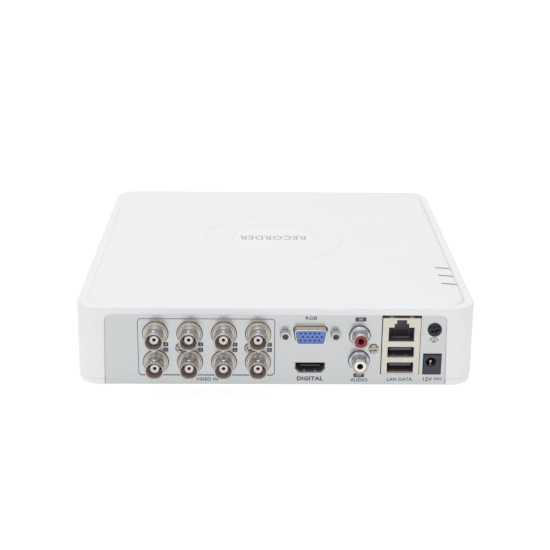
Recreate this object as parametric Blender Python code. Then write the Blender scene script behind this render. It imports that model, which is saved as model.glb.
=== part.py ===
"""Small desktop video recorder: white moulded case, connector panel, main board and 3.5 inch hard disk.

Lengths are in millimetres and are turned into metres when a mesh is made. +X is to the right of
someone facing the connector panel, the panel faces -Y, and +Z is up. The origin is at the middle of
the footprint, at the height of the surface that the feet stand on.
"""

import math

import bmesh
import bpy
from mathutils import Vector

MM = 0.001

# ---- Driving dimensions -------------------------------------------------------------------------

HALF_WIDTH = 100.0
BODY_CENTRE_Y = 5.0
BACK = BODY_CENTRE_Y - HALF_WIDTH
TOP = 45.0
CORNER_RADIUS = 12.0
CORNER_STEPS = 5
STRAIGHT_STEPS = 10
GAP = 0.3

FLOOR_BOTTOM = 2.0
FLOOR_TOP = 4.4
BASE_RIM_TOP = 5.7
COVER_BOTTOM = BASE_RIM_TOP + GAP
CEILING = TOP - 2.0

PANEL_FACE = BACK + 1.0
PANEL_THICKNESS = 1.0
PANEL_HALF_WIDTH_TOP = 84.3
PANEL_HALF_WIDTH_FOOT = 85.4
PANEL_CORNER_RADIUS = 2.8
WINDOW_TOP = 40.4
PANEL_FOOT = 2.2
BEHIND_PANEL = -PANEL_THICKNESS - GAP

BNC_COLUMNS = (-59.9, -42.9, -25.9, -8.9)
BNC_ROWS = (30.0, 14.6)
BNC_REACH = 11.0
PANEL_SCREWS = ((-47.6, 22.3), (-13.3, 22.3), (48.9, 22.1))
GROUND_SCREW = (79.0, 32.6)
VGA_CENTRE = (17.1, 30.2)
VGA_REACH = 4.6
JACKSCREW_HALF_SPACING = 12.5
DIGITAL_VIDEO_CENTRE = (17.2, 11.8)
DIGITAL_VIDEO_BACK = -11.0
AUDIO_X = 41.75
AUDIO_ROWS = (29.3, 15.8)
NETWORK_CENTRE_X = 62.45
NETWORK_HALF_WIDTH = 9.45
NETWORK_TOP = 38.9
DC_CENTRE_X = 78.6
DC_HOLE = (78.0, 14.9)
DC_HALF_WIDTH = 4.4
DC_FOOT = 8.4
DC_TOP = 19.3

BOARD_BOTTOM = 6.4
BOARD_TOP = 8.0
ON_BOARD = BOARD_TOP + GAP
BOARD_HALF_WIDTH = 84.0
BOARD_BACK = -92.4
BOARD_FRONT = -8.0
BOARD_POSTS = [(x, y) for x in (-78.0, 78.0) for y in (-80.0, -14.0)]

CASE_SCREWS = [(x, y) for x in (-89.0, 89.0) for y in (-87.0, 97.0)]
FEET = [(x, y) for x in (-80.0, 80.0) for y in (-75.0, 85.0)]
INDICATOR_ROWS = (-62.0, -50.2, -38.6)
INDICATOR_SLANT = -0.2
SLOT_START = 86.2
SLOT_END = 94.9
EMBLEM_CENTRE = (0.0, 9.5)
EMBLEM_RADIUS = 23.5

DISK_CENTRE = (0.0, 47.8, FLOOR_TOP + GAP)
DISK_HALF_LENGTH = 73.5
DISK_HALF_WIDTH = 50.8
SPINDLE = (-21.0, 0.0)
PLATTER_RADIUS = 47.5
ARM_PIVOT = (33.0, -26.0)
ARM_LENGTH = 52.0
ARM_PARK_ANGLE = math.radians(102.4)

FACING_BACK = (math.radians(90), 0.0, 0.0)
FACING_DOWN = (math.radians(180), 0.0, 0.0)


# ---- Materials ----------------------------------------------------------------------------------

def linear(value):
    """An sRGB value of 0 to 255 as scene-linear light."""
    share = value / 255
    return share / 12.92 if share <= 0.04045 else ((share + 0.055) / 1.055) ** 2.4


def material(name, colour, roughness, metallic=0.0):
    """One Principled BSDF material; colour is sRGB, 0 to 255."""
    made = bpy.data.materials.new(name)
    made.use_nodes = True
    shader = made.node_tree.nodes["Principled BSDF"]
    shader.inputs["Base Color"].default_value = [linear(v) for v in colour] + [1.0]
    shader.inputs["Roughness"].default_value = roughness
    shader.inputs["Metallic"].default_value = metallic
    return made


# ---- Mesh makers --------------------------------------------------------------------------------

def finished(bm, name, made_of, smooth_angle=35.0):
    """The bmesh, in millimetres, as a mesh in metres with its faces pointing out."""
    bmesh.ops.recalc_face_normals(bm, faces=bm.faces)
    bmesh.ops.scale(bm, vec=(MM, MM, MM), verts=bm.verts)
    mesh = bpy.data.meshes.new(name)
    bm.to_mesh(mesh)
    bm.free()
    mesh.materials.append(made_of)
    mesh.shade_smooth()
    mesh.set_sharp_from_angle(angle=math.radians(smooth_angle))
    return mesh


def loft(name, rings, made_of):
    """Rings of equally many points, skinned one to the next, with the first and the last one closed."""
    bm = bmesh.new()
    rows = [[bm.verts.new(point) for point in ring] for ring in rings]
    for low, high in zip(rows, rows[1:]):
        for i in range(len(low)):
            j = (i + 1) % len(low)
            bm.faces.new((low[i], low[j], high[j], high[i]))
    bm.faces.new(rows[0][::-1])
    bm.faces.new(rows[-1])
    return finished(bm, name, made_of)


def prism(name, outline, low, high, made_of):
    """A flat outline in X and Y, carried from the height low to the height high."""
    return loft(name, [[(x, y, z) for x, y in outline] for z in (low, high)], made_of)


def block(name, low, high, made_of):
    """A box between two opposite corners."""
    outline = [(low[0], low[1]), (high[0], low[1]), (high[0], high[1]), (low[0], high[1])]
    return prism(name, outline, low[2], high[2], made_of)


def turned(name, profile, segments, made_of, lugs=()):
    """A profile of (radius, height) points turned about Z. Its two ends lie on the axis.

    Each lug is (segment, profile step, height): that one facet is raised into a small block.
    """
    bm = bmesh.new()
    rows = []
    for radius, height in profile:
        if radius == 0:
            rows.append([bm.verts.new((0, 0, height))])
            continue
        angles = [math.tau * (i + 0.5) / segments for i in range(segments)]
        rows.append([bm.verts.new((radius * math.cos(a), radius * math.sin(a), height)) for a in angles])
    facets = {}
    for step, (low, high) in enumerate(zip(rows, rows[1:])):
        for i in range(segments):
            j = (i + 1) % segments
            corners = [low[i % len(low)], low[j % len(low)], high[j % len(high)], high[i % len(high)]]
            facets[i, step] = bm.faces.new(list(dict.fromkeys(corners)))
    bmesh.ops.recalc_face_normals(bm, faces=bm.faces)
    for segment, step, height in lugs:
        facet = facets[segment, step]
        outward = facet.normal.copy()
        raised = bmesh.ops.extrude_discrete_faces(bm, faces=[facet])["faces"][0]
        bmesh.ops.translate(bm, vec=outward * height, verts=raised.verts)
    return finished(bm, name, made_of)


def rounded(points, radius, steps=3):
    """A convex outline, listed anticlockwise, with each corner rounded by an arc."""
    outline = []
    for i, point in enumerate(points):
        corner = Vector(point)
        before = (Vector(points[i - 1]) - corner).normalized()
        after = (Vector(points[(i + 1) % len(points)]) - corner).normalized()
        half_angle = before.angle(after) / 2
        middle = corner + (before + after).normalized() * radius / math.sin(half_angle)
        start = corner + before * radius / math.tan(half_angle) - middle
        sweep = math.pi - 2 * half_angle
        for step in range(steps + 1):
            turn = sweep * step / steps
            x = start.x * math.cos(turn) - start.y * math.sin(turn)
            y = start.x * math.sin(turn) + start.y * math.cos(turn)
            outline.append((middle.x + x, middle.y + y))
    return outline


def rectangle(low_x, high_x, low_y, high_y):
    """A plain rectangular outline, anticlockwise."""
    return [(low_x, low_y), (high_x, low_y), (high_x, high_y), (low_x, high_y)]


def circle(x, y, radius, segments=16):
    """A round outline, anticlockwise."""
    angles = [math.tau * (i + 0.5) / segments for i in range(segments)]
    return [(x + radius * math.cos(a), y + radius * math.sin(a)) for a in angles]


def body_ring(inset, height, radius=None):
    """The case's plan outline, drawn in by inset, at one height."""
    half = HALF_WIDTH - inset
    radius = CORNER_RADIUS - inset if radius is None else radius
    corners = rounded(rectangle(-half, half, -half, half), radius, CORNER_STEPS)
    outline = []
    for i, point in enumerate(corners):
        outline.append(point)
        if i % (CORNER_STEPS + 1) == CORNER_STEPS:
            start, end = Vector(point), Vector(corners[(i + 1) % len(corners)])
            outline += [tuple(start.lerp(end, k / STRAIGHT_STEPS)) for k in range(1, STRAIGHT_STEPS)]
    return [(x, y + BODY_CENTRE_Y, height) for x, y in outline]


def ramped(ring, ramp_height):
    """The ring with its panel side moved to ramp_height, easing back to its own height at the corners."""
    ramp_from, ramp_to = 92.0, 81.0
    panel_side = BACK + 10.0
    made = []
    for x, y, z in ring:
        share = min(max((ramp_from - abs(x)) / (ramp_from - ramp_to), 0.0), 1.0) if y < panel_side else 0.0
        made.append((x, y, z + (ramp_height - z) * share * share * (3 - 2 * share)))
    return made


# ---- Objects and Booleans -----------------------------------------------------------------------

def node(name, mesh, location=(0.0, 0.0, 0.0), rotation=(0.0, 0.0, 0.0)):
    """One named sub-part, placed by its location and rotation."""
    made = bpy.data.objects.new(name, mesh)
    made.location = Vector(location) * MM
    made.rotation_euler = rotation
    bpy.context.scene.collection.objects.link(made)
    return made


def facing_back(name, mesh, x=0.0, z=0.0):
    """A sub-part drawn with +Z pointing out of the panel, placed on the panel's outer face."""
    return node(name, mesh, (x, PANEL_FACE, z), FACING_BACK)


def combine(target, mesh, operation):
    """A Boolean of target with a helper whose mesh is in the target's own coordinates."""
    helper = bpy.data.objects.new(f"helper.{target.name}.{mesh.name}", mesh)
    helper.location = target.location
    helper.rotation_euler = target.rotation_euler
    helper.hide_render = True
    helper.display_type = "WIRE"
    bpy.context.scene.collection.objects.link(helper)
    boolean = target.modifiers.new(mesh.name, "BOOLEAN")
    boolean.operation = operation
    boolean.solver = "EXACT"
    boolean.object = helper


def cut(target, mesh):
    combine(target, mesh, "DIFFERENCE")


def join(target, mesh):
    combine(target, mesh, "UNION")


# ---- Case ---------------------------------------------------------------------------------------

def make_top_cover(white):
    """The upper shell: drafted walls, a ledge inside a thin lip, and a raised top.

    The top ramps down to the lip along the panel side, where there is no ledge.
    """
    wall = 2.0
    plateau_radius = 9.0
    lip_inset, lip_height = 1.0, TOP - 1.0
    ramp_end = 9.2
    slope = (TOP - lip_height) / (ramp_end - lip_inset)
    ledge = [
        (3.2, body_ring(3.2, TOP - 1.2)),
        (5.0, body_ring(5.0, TOP - 1.1, plateau_radius)),
        (5.3, body_ring(5.3, TOP - 0.4, plateau_radius)),
        (6.2, body_ring(6.2, TOP, plateau_radius)),
    ]
    rings = [
        body_ring(7.4, CEILING, plateau_radius - wall),
        body_ring(7.2, CEILING - 0.8, plateau_radius - wall),
        body_ring(3.4, CEILING - 0.8),
        body_ring(2.8, CEILING - 1.4),
        body_ring(wall, COVER_BOTTOM),
        body_ring(0.0, COVER_BOTTOM),
        body_ring(0.45, TOP - 1.6),
        body_ring(0.65, TOP - 1.15),
        body_ring(lip_inset, lip_height),
        *(ramped(ring, lip_height + slope * (inset - lip_inset)) for inset, ring in ledge),
        body_ring(ramp_end, TOP, plateau_radius),
    ]
    cover = node("top_cover", loft("top_cover", rings, white))

    boss_radius = 3.5
    boss_foot = 10.4
    boss_hole_radius = 1.5
    boss_hole_top = 24.0
    for x, y in CASE_SCREWS:
        join(cover, prism("boss", circle(x, y, boss_radius, 12), boss_foot, CEILING + 0.6, white))
        cut(cover, prism("boss_hole", circle(x, y, boss_hole_radius, 12), 0.0, boss_hole_top, white))

    depth = 3.0
    window = prism("window", panel_outline(GAP), -depth, depth, white)
    turn_to_back(window, BACK)
    cut(cover, window)

    slot_half = 0.9
    slot_foot = 40.0
    for y in INDICATOR_ROWS:
        outline = slanted(SLOT_START, SLOT_END, y, slot_half)
        cut(cover, prism("slot", outline, slot_foot, TOP + 1, white))

    recess = 0.9
    outline = circle(*EMBLEM_CENTRE, EMBLEM_RADIUS + GAP, 40)
    cut(cover, prism("emblem_recess", outline, TOP - recess, TOP + 1, white))
    return cover


def slanted(low_x, high_x, y, half):
    """An indicator slot's outline: a bar that drops towards the panel as it nears the case side."""
    low_y, high_y = (y + INDICATOR_SLANT * (x - SLOT_START) for x in (low_x, high_x))
    return [(low_x, low_y - half), (high_x, high_y - half), (high_x, high_y + half), (low_x, low_y + half)]


def panel_outline(margin):
    """The connector panel's outline with a margin round it, wider at the foot and open-ended below."""
    below = -3.0
    high = WINDOW_TOP - GAP
    lean = (PANEL_HALF_WIDTH_FOOT - PANEL_HALF_WIDTH_TOP) / (high - PANEL_FOOT)
    top = PANEL_HALF_WIDTH_TOP + margin
    foot = PANEL_HALF_WIDTH_FOOT + lean * (PANEL_FOOT - below) + margin
    corners = [(-foot, below), (foot, below), (top, high + margin), (-top, high + margin)]
    return rounded(corners, PANEL_CORNER_RADIUS + margin)


def turn_to_back(mesh, y):
    """Stands a mesh drawn facing +Z up, so that it faces -Y at the given depth."""
    for vertex in mesh.vertices:
        x, up, out = vertex.co
        vertex.co = (x, y * MM - out, up)


def make_emblem_disc(warm_white):
    thickness = 0.6
    outline = circle(0.0, 0.0, EMBLEM_RADIUS, 40)
    node("emblem_disc", prism("emblem_disc", outline, -thickness, 0.0, warm_white), (*EMBLEM_CENTRE, TOP))


def make_light_guide(clear_grey):
    """A bar under the top with one fin standing up into each indicator slot."""
    low_x = 86.6
    foot = 41.3
    fin_half = 0.55
    end = 2.5
    first, last = INDICATOR_ROWS[0] - end, INDICATOR_ROWS[-1] + end
    bar = block("light_guide", (low_x, first, foot), (92.0, last, CEILING - GAP), clear_grey)
    guide = node("light_guide", bar)
    for y in INDICATOR_ROWS:
        outline = slanted(low_x + 0.1, 94.2, y, fin_half)
        join(guide, prism("fin", outline, foot + 0.4, TOP - 0.3, clear_grey))


def make_base_tray(white):
    """The lower shell: a floor, an outer band that meets the cover, and a lip inside it."""
    lip_top = 8.5
    lip_outer = 2.4
    lip_inner = 3.9
    rings = [
        body_ring(1.7, FLOOR_BOTTOM),
        body_ring(0.7, FLOOR_BOTTOM + 0.3),
        body_ring(0.2, FLOOR_BOTTOM + 1.1),
        body_ring(0.2, BASE_RIM_TOP - 0.5),
        body_ring(0.3, BASE_RIM_TOP),
        body_ring(lip_outer, BASE_RIM_TOP),
        body_ring(lip_outer, lip_top),
        body_ring(lip_inner, lip_top),
        body_ring(lip_inner, FLOOR_TOP),
    ]
    tray = node("base_tray", loft("base_tray", rings, white))

    notch_half = PANEL_HALF_WIDTH_FOOT + 2 * GAP
    notch_front = PANEL_FACE + PANEL_THICKNESS + 2 * GAP
    cut(tray, block("panel_notch", (-notch_half, BACK - 5, 0), (notch_half, notch_front, 12), white))
    cut(tray, block("lip_gap", (-notch_half, BACK - 4, FLOOR_TOP), (notch_half, BACK + 5, 12), white))

    post_radius = 4.0
    post_top = 10.0
    counterbore_top = 7.0
    for x, y in CASE_SCREWS:
        join(tray, prism("post", circle(x, y, post_radius, 12), FLOOR_BOTTOM + 0.6, post_top, white))
        cut(tray, prism("screw_hole", circle(x, y, 1.6, 12), 0.0, post_top + 1, white))
        cut(tray, prism("counterbore", circle(x, y, 3.2, 12), 0.0, counterbore_top, white))

    standoff_radius = 3.2
    standoff_top = BOARD_BOTTOM - GAP
    for x, y in BOARD_POSTS:
        outline = circle(x, y, standoff_radius, 12)
        join(tray, prism("standoff", outline, FLOOR_BOTTOM + 0.8, standoff_top, white))

    peg_hole_radius = 2.3
    for x, y in FEET:
        cut(tray, prism("foot_hole", circle(x, y, peg_hole_radius, 12), 0.0, FLOOR_TOP + 1, white))

    vent_half_length = 15.0
    vent_half_width = 1.5
    vent_pitch = 8.0
    vents_per_side = 4
    for side in (-1, 1):
        for row in range(vents_per_side):
            x = side * (vent_half_length + 12)
            y = -28.0 - row * vent_pitch
            low = (x - vent_half_length, y - vent_half_width, 0.0)
            high = (x + vent_half_length, y + vent_half_width, FLOOR_TOP + 1)
            cut(tray, block("vent", low, high, white))


def make_rubber_feet(rubber):
    pad_top = FLOOR_BOTTOM - GAP
    profile = [(0, 0), (6.2, 0), (7.0, 0.6), (7.0, pad_top), (2.0, pad_top), (2.0, 4.2), (0, 4.2)]
    mesh = turned("rubber_foot", profile, 16, rubber)
    for number, (x, y) in enumerate(FEET, 1):
        node(f"rubber_foot_{number}", mesh, (x, y, 0))


# ---- Screws -------------------------------------------------------------------------------------

def screw_mesh(name, head_radius, head_height, shank_radius, shank_length, made_of):
    """A pan-head screw standing on its seat at height 0, with its head upwards."""
    profile = [
        (0, -shank_length),
        (shank_radius, -shank_length),
        (shank_radius, 0),
        (head_radius, 0),
        (head_radius, 0.3 * head_height),
        (0.8 * head_radius, 0.8 * head_height),
        (0, head_height),
    ]
    return turned(name, profile, 12, made_of)


def cross_recess(head_radius, head_height, made_of):
    """A plus-shaped cutter for the driver."""
    long, thin = 0.6 * head_radius, 0.16 * head_radius
    quarter = [(long, -thin), (long, thin), (thin, thin)]
    outline = []
    for turn in range(4):
        for x, y in quarter:
            for _ in range(turn):
                x, y = -y, x
            outline.append((x, y))
    return prism("cross", outline, 0.35 * head_height, head_height + 1, made_of)


def make_screws(steel, black):
    head, height = 2.5, 1.5
    mesh = screw_mesh("panel_screw", head, height, 1.3, 8.0, steel)
    recess = cross_recess(head, height, steel)
    for number, (x, z) in enumerate(PANEL_SCREWS, 1):
        screw = node(f"panel_screw_{number}", mesh, (x, PANEL_FACE - GAP, z), FACING_BACK)
        cut(screw, recess)

    head, height = 3.55, 1.8
    x, z = GROUND_SCREW
    mesh = screw_mesh("ground_screw", head, height, 1.8, 6.0, black)
    screw = node("ground_screw", mesh, (x, PANEL_FACE - GAP, z), FACING_BACK)
    cut(screw, cross_recess(head, height, black))

    head, height = 2.8, 2.0
    seat = 7.0 - GAP
    mesh = screw_mesh("cover_screw", head, height, 1.2, 15.0, steel)
    recess = cross_recess(head, height, steel)
    for number, (x, y) in enumerate(CASE_SCREWS, 1):
        screw = node(f"cover_screw_{number}", mesh, (x, y, seat), FACING_DOWN)
        cut(screw, recess)


# ---- Connector panel ----------------------------------------------------------------------------

def d_outline(half_width, half_height, corner):
    """A D-shaped socket's outline, wide side up, with its ends sloping in by ten degrees."""
    slope = 2 * half_height * math.tan(math.radians(10))
    points = [
        (half_width - slope, -half_height),
        (half_width, half_height),
        (-half_width, half_height),
        (slope - half_width, -half_height),
    ]
    return rounded(points, corner, 2)


def digital_outline(margin):
    """The flat digital video socket's outline, with its lower corners cut off."""
    wide, high, low = 7.5 + margin, 2.75 + margin, 5.6 + margin
    points = [(low, -high), (wide, -0.6), (wide, high), (-wide, high), (-wide, -0.6), (-low, -high)]
    return rounded(points, 0.4, 1)


def network_outline(foot, shoulder, middle, top):
    """The network socket's stepped outline, with its latch notch at the top."""
    halves = [(6.35, foot, shoulder), (3.6, shoulder, middle), (2.45, middle, top)]
    right = [point for half, low, high in halves for point in ((half, low), (half, high))]
    return right + [(-x, z) for x, z in reversed(right)]


def moved(outline, x, y):
    return [(px + x, py + y) for px, py in outline]


def make_rear_panel(sheet):
    """The connector panel, a folded sheet with one cutout for each connector."""
    panel = facing_back("rear_panel", prism("rear_panel", panel_outline(0.0), -PANEL_THICKNESS, 0.0, sheet))
    cut(panel, block("below_foot", (-90.0, -10.0, -3.0), (90.0, PANEL_FOOT, 3.0), sheet))

    fold_low = FLOOR_TOP + GAP
    fold = (-72.0, fold_low, -10.0), (72.0, fold_low + 1.0, -PANEL_THICKNESS / 2)
    join(panel, block("fold", *fold, sheet))

    def hole(outline, name):
        cut(panel, prism(name, outline, -PANEL_THICKNESS - 1, 1.0, sheet))

    for x in BNC_COLUMNS:
        for z in BNC_ROWS:
            hole(circle(x, z, 6.7, 16), "bnc_hole")
    for z in AUDIO_ROWS:
        hole(circle(AUDIO_X, z, 5.9, 16), "audio_hole")
    for x, z in PANEL_SCREWS:
        hole(circle(x, z, 1.6, 12), "screw_hole")
    hole(circle(*GROUND_SCREW, 2.1, 12), "ground_hole")

    x, z = VGA_CENTRE
    hole(moved(d_outline(9.1, 4.2, 1.6), x, z), "vga_hole")
    for side in (-1, 1):
        hole(circle(x + side * JACKSCREW_HALF_SPACING, z, 1.7, 12), "jackscrew_hole")
    hole(moved(digital_outline(GAP), *DIGITAL_VIDEO_CENTRE), "digital_hole")

    side = NETWORK_HALF_WIDTH + 0.35
    hole(rectangle(NETWORK_CENTRE_X - side, NETWORK_CENTRE_X + side, 8.2, TOP), "network_hole")
    side = DC_HALF_WIDTH + GAP
    hole(rectangle(DC_CENTRE_X - side, DC_CENTRE_X + side, DC_FOOT - GAP, DC_TOP + GAP), "dc_hole")


# ---- Video inputs -------------------------------------------------------------------------------

def make_video_inputs(nickel, white_plastic, black_plastic):
    """Two moulded blocks of four bayonet sockets, standing on the main board behind the panel."""
    stem = 4.0
    stem_depth = 12.0
    flange = 6.3
    shell = 4.8
    bore = 4.2
    neck_bore = 3.3
    tip = BNC_REACH
    barrel_profile = [
        (0, -stem_depth),
        (stem, -stem_depth),
        (stem, -PANEL_THICKNESS),
        (flange, -PANEL_THICKNESS),
        (flange, 0.6),
        (flange - 0.4, 1.0),
        (stem, 1.0),
        (stem, 4.2),
        (shell, 4.9),
        (shell, 8.0),
        (shell, 9.6),
        (shell, tip - 0.3),
        (shell - 0.3, tip),
        (bore, tip),
        (bore, 5.4),
        (neck_bore, 5.4),
        (neck_bore, 1.6),
        (0, 1.6),
    ]
    segments = 16
    lug_step = barrel_profile.index((shell, 8.0))
    lugs = [(segments // 4 - 1, lug_step, 0.9), (3 * segments // 4 - 1, lug_step, 0.9)]
    barrel = turned("bnc_barrel", barrel_profile, segments, nickel, lugs)

    post = 2.15
    post_top = tip - 2.8
    contact_hole = 0.7
    insulator_profile = [
        (0, 1.9),
        (neck_bore - GAP, 1.9),
        (neck_bore - GAP, 3.4),
        (post, 3.4),
        (post, post_top),
        (contact_hole, post_top),
        (contact_hole, 3.4),
        (0, 3.4),
    ]
    insulator = turned("bnc_insulator", insulator_profile, 12, white_plastic)

    number = 0
    for x in BNC_COLUMNS:
        for z in BNC_ROWS:
            number += 1
            facing_back(f"bnc_barrel_{number}", barrel, x, z)
            facing_back(f"bnc_insulator_{number}", insulator, x, z)

    half = 15.9
    block_depth = 16.5
    bore_radius = stem + GAP
    for name, columns, screw in (
        ("bnc_block_left", BNC_COLUMNS[:2], PANEL_SCREWS[0]),
        ("bnc_block_right", BNC_COLUMNS[2:], PANEL_SCREWS[1]),
    ):
        middle = sum(columns) / 2
        low = (middle - half, ON_BOARD, BEHIND_PANEL - block_depth)
        high = (middle + half, 37.8, BEHIND_PANEL)
        housing = facing_back(name, block(name, low, high, black_plastic))
        for x in columns:
            for z in BNC_ROWS:
                outline = circle(x, z, bore_radius, 16)
                cut(housing, prism("stem_bore", outline, -stem_depth - GAP, 1.0, black_plastic))
        cut(housing, prism("screw_bore", circle(*screw, 1.6, 12), -9.0, 1.0, black_plastic))


# ---- Monitor and digital video sockets ----------------------------------------------------------

def make_monitor_socket(nickel, blue_plastic):
    """The fifteen-way D socket: a pressed shell, a blue insert and two hexagonal jackscrews."""
    x, z = VGA_CENTRE
    flange = rounded(rectangle(-15.4, 15.4, -6.2, 6.2), 1.0, 2)
    flange_back = BEHIND_PANEL - 0.7
    shell = facing_back("vga_shell", prism("vga_shell", flange, flange_back, BEHIND_PANEL, nickel), x, z)
    join(shell, prism("vga_collar", d_outline(8.8, 3.9, 1.3), BEHIND_PANEL - 0.3, VGA_REACH, nickel))
    cut(shell, prism("vga_mouth", d_outline(8.4, 3.5, 1.0), flange_back - 1, VGA_REACH + 1, nickel))
    for side in (-1, 1):
        outline = circle(side * JACKSCREW_HALF_SPACING, 0.0, 1.7, 12)
        cut(shell, prism("jackscrew_hole", outline, flange_back - 1, 1.0, nickel))

    face = VGA_REACH - 0.6
    insert = prism("vga_insert", d_outline(8.1, 3.2, 0.8), flange_back - 1, face, blue_plastic)
    insert = facing_back("vga_insert", insert, x, z)
    body_front = flange_back - GAP
    body_back = -21.0
    body = (-15.0, -8.0, body_back), (15.0, 6.2, body_front)
    join(insert, block("vga_body", *body, blue_plastic))
    leg = (-14.9, ON_BOARD - z, body_back + 0.1), (14.9, -7.0, DIGITAL_VIDEO_BACK - 0.6)
    join(insert, block("vga_leg", *leg, blue_plastic))
    pitch = 2.29
    row_height = 1.86
    for row in (-1, 0, 1):
        shift = 0.8 if row == 0 else 0.8 - pitch / 2
        for column in range(5):
            outline = circle((column - 2) * pitch + shift, row * row_height, 0.5, 6)
            cut(insert, prism("pin_hole", outline, face - 3, face + 1, blue_plastic))

    hexagon_radius = 2.75
    reach = VGA_REACH - 0.3
    hexagon = circle(0.0, 0.0, hexagon_radius, 6)
    for name, side in (("vga_jackscrew_left", -1), ("vga_jackscrew_right", 1)):
        jackscrew = prism(name, hexagon, GAP, reach, nickel)
        jackscrew = facing_back(name, jackscrew, x + side * JACKSCREW_HALF_SPACING, z)
        join(jackscrew, prism("stud", circle(0, 0, 1.4, 12), flange_back + 0.1, GAP + 0.5, nickel))
        cut(jackscrew, prism("thread", circle(0, 0, 1.5, 12), 1.5, reach + 1, nickel))


def make_digital_video_socket(nickel, black_plastic):
    x, z = DIGITAL_VIDEO_CENTRE
    back = DIGITAL_VIDEO_BACK
    shell = prism("digital_video_shell", digital_outline(0.0), back, 0.4, nickel)
    shell = facing_back("digital_video_shell", shell, x, z)
    cut(shell, prism("mouth", digital_outline(-0.5), back + 0.8, 2.0, nickel))
    tongue = block("digital_video_tongue", (-5.6, -0.3, back + 1.1), (5.6, 1.2, -0.6), black_plastic)
    facing_back("digital_video_tongue", tongue, x, z)


# ---- Audio pair ---------------------------------------------------------------------------------

def make_audio_pair(nickel, red_plastic, white_plastic, black_plastic):
    """Two phono sockets in one moulded block."""
    stem = 3.5
    stem_depth = 10.0
    shell = 4.15
    bore = 3.3
    tip = 8.0
    barrel_profile = [
        (0, -stem_depth),
        (stem, -stem_depth),
        (stem, -PANEL_THICKNESS),
        (5.45, -PANEL_THICKNESS),
        (5.45, 0.8),
        (shell, 1.2),
        (shell, tip - 0.25),
        (shell - 0.25, tip),
        (bore, tip),
        (bore, 1.0),
        (0, 1.0),
    ]
    barrel = turned("audio_barrel", barrel_profile, 16, nickel)
    insulator_profile = [(0, 1.3), (3.0, 1.3), (3.0, 7.4), (1.6, 7.4), (1.6, 2.0), (0, 2.0)]
    for name, z, plastic in (("in", AUDIO_ROWS[0], red_plastic), ("out", AUDIO_ROWS[1], white_plastic)):
        facing_back(f"audio_barrel_{name}", barrel, AUDIO_X, z)
        insulator = turned(f"audio_insulator_{name}", insulator_profile, 16, plastic)
        facing_back(f"audio_insulator_{name}", insulator, AUDIO_X, z)

    low = (AUDIO_X - 6.2, ON_BOARD, BEHIND_PANEL - 13.0)
    high = (52.0, 36.3, BEHIND_PANEL)
    housing = facing_back("audio_block", block("audio_block", low, high, black_plastic))
    for z in AUDIO_ROWS:
        outline = circle(AUDIO_X, z, stem + GAP, 16)
        cut(housing, prism("stem_bore", outline, -stem_depth - GAP, 1.0, black_plastic))
    cut(housing, prism("screw_bore", circle(*PANEL_SCREWS[2], 1.6, 12), -9.0, 1.0, black_plastic))


# ---- Network, USB and power ---------------------------------------------------------------------

USB_FEET = (17.7, 9.2)
USB_HEIGHT = 5.7
USB_HALF_WIDTH = 6.6


def make_network_usb_stack(nickel, black_plastic):
    """One network socket over two USB sockets: a folded metal can round a moulded insert."""
    front = 0.5
    back = -21.0
    wall = 0.5
    low, high = 8.5, NETWORK_TOP
    half = NETWORK_HALF_WIDTH
    can = block("network_usb_shield", (-half, low, back), (half, high, front), nickel)
    can = facing_back("network_usb_shield", can, NETWORK_CENTRE_X)
    inner = (wall - half, low - 3, back + wall), (half - wall, high - wall, front - wall)
    cut(can, block("hollow", *inner, nickel))
    mouth = network_outline(26.4, 33.9, 35.9, 37.9)
    cut(can, prism("network_mouth", mouth, front - 2 * wall, front + 1, nickel))
    for foot in USB_FEET:
        outline = rectangle(-USB_HALF_WIDTH, USB_HALF_WIDTH, foot, foot + USB_HEIGHT)
        cut(can, prism("usb_mouth", outline, front - 2 * wall, front + 1, nickel))

    edge = wall + GAP
    face = front - edge
    low_corner = (edge - half, ON_BOARD + 0.1, back + edge)
    high_corner = (half - edge, high - edge, face)
    insert = block("network_usb_insert", low_corner, high_corner, black_plastic)
    insert = facing_back("network_usb_insert", insert, NETWORK_CENTRE_X)
    cavity_back = -14.0
    cavity = network_outline(26.3, 33.9, 35.9, 37.9)
    cut(insert, prism("network_cavity", cavity, cavity_back, 2.0, black_plastic))
    for foot in USB_FEET:
        outline = rectangle(-USB_HALF_WIDTH, USB_HALF_WIDTH, foot, foot + USB_HEIGHT)
        cut(insert, prism("usb_cavity", outline, cavity_back, 2.0, black_plastic))
        tongue = (-5.6, foot + 3.0, cavity_back - 0.5), (5.6, foot + 4.9, face - 0.6)
        join(insert, block("usb_tongue", *tongue, black_plastic))


def make_dc_jack(black_plastic):
    low = (-DC_HALF_WIDTH, DC_FOOT, -14.0)
    high = (DC_HALF_WIDTH, DC_TOP, 0.9)
    jack = facing_back("dc_jack", block("dc_jack", low, high, black_plastic), DC_CENTRE_X)
    x, z = DC_HOLE[0] - DC_CENTRE_X, DC_HOLE[1]
    cut(jack, prism("plug_hole", circle(x, z, 2.9, 16), -9.0, 2.0, black_plastic))
    join(jack, prism("centre_pin", circle(x, z, 1.0, 8), -10.0, -0.6, black_plastic))


# ---- Main board ---------------------------------------------------------------------------------

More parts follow.
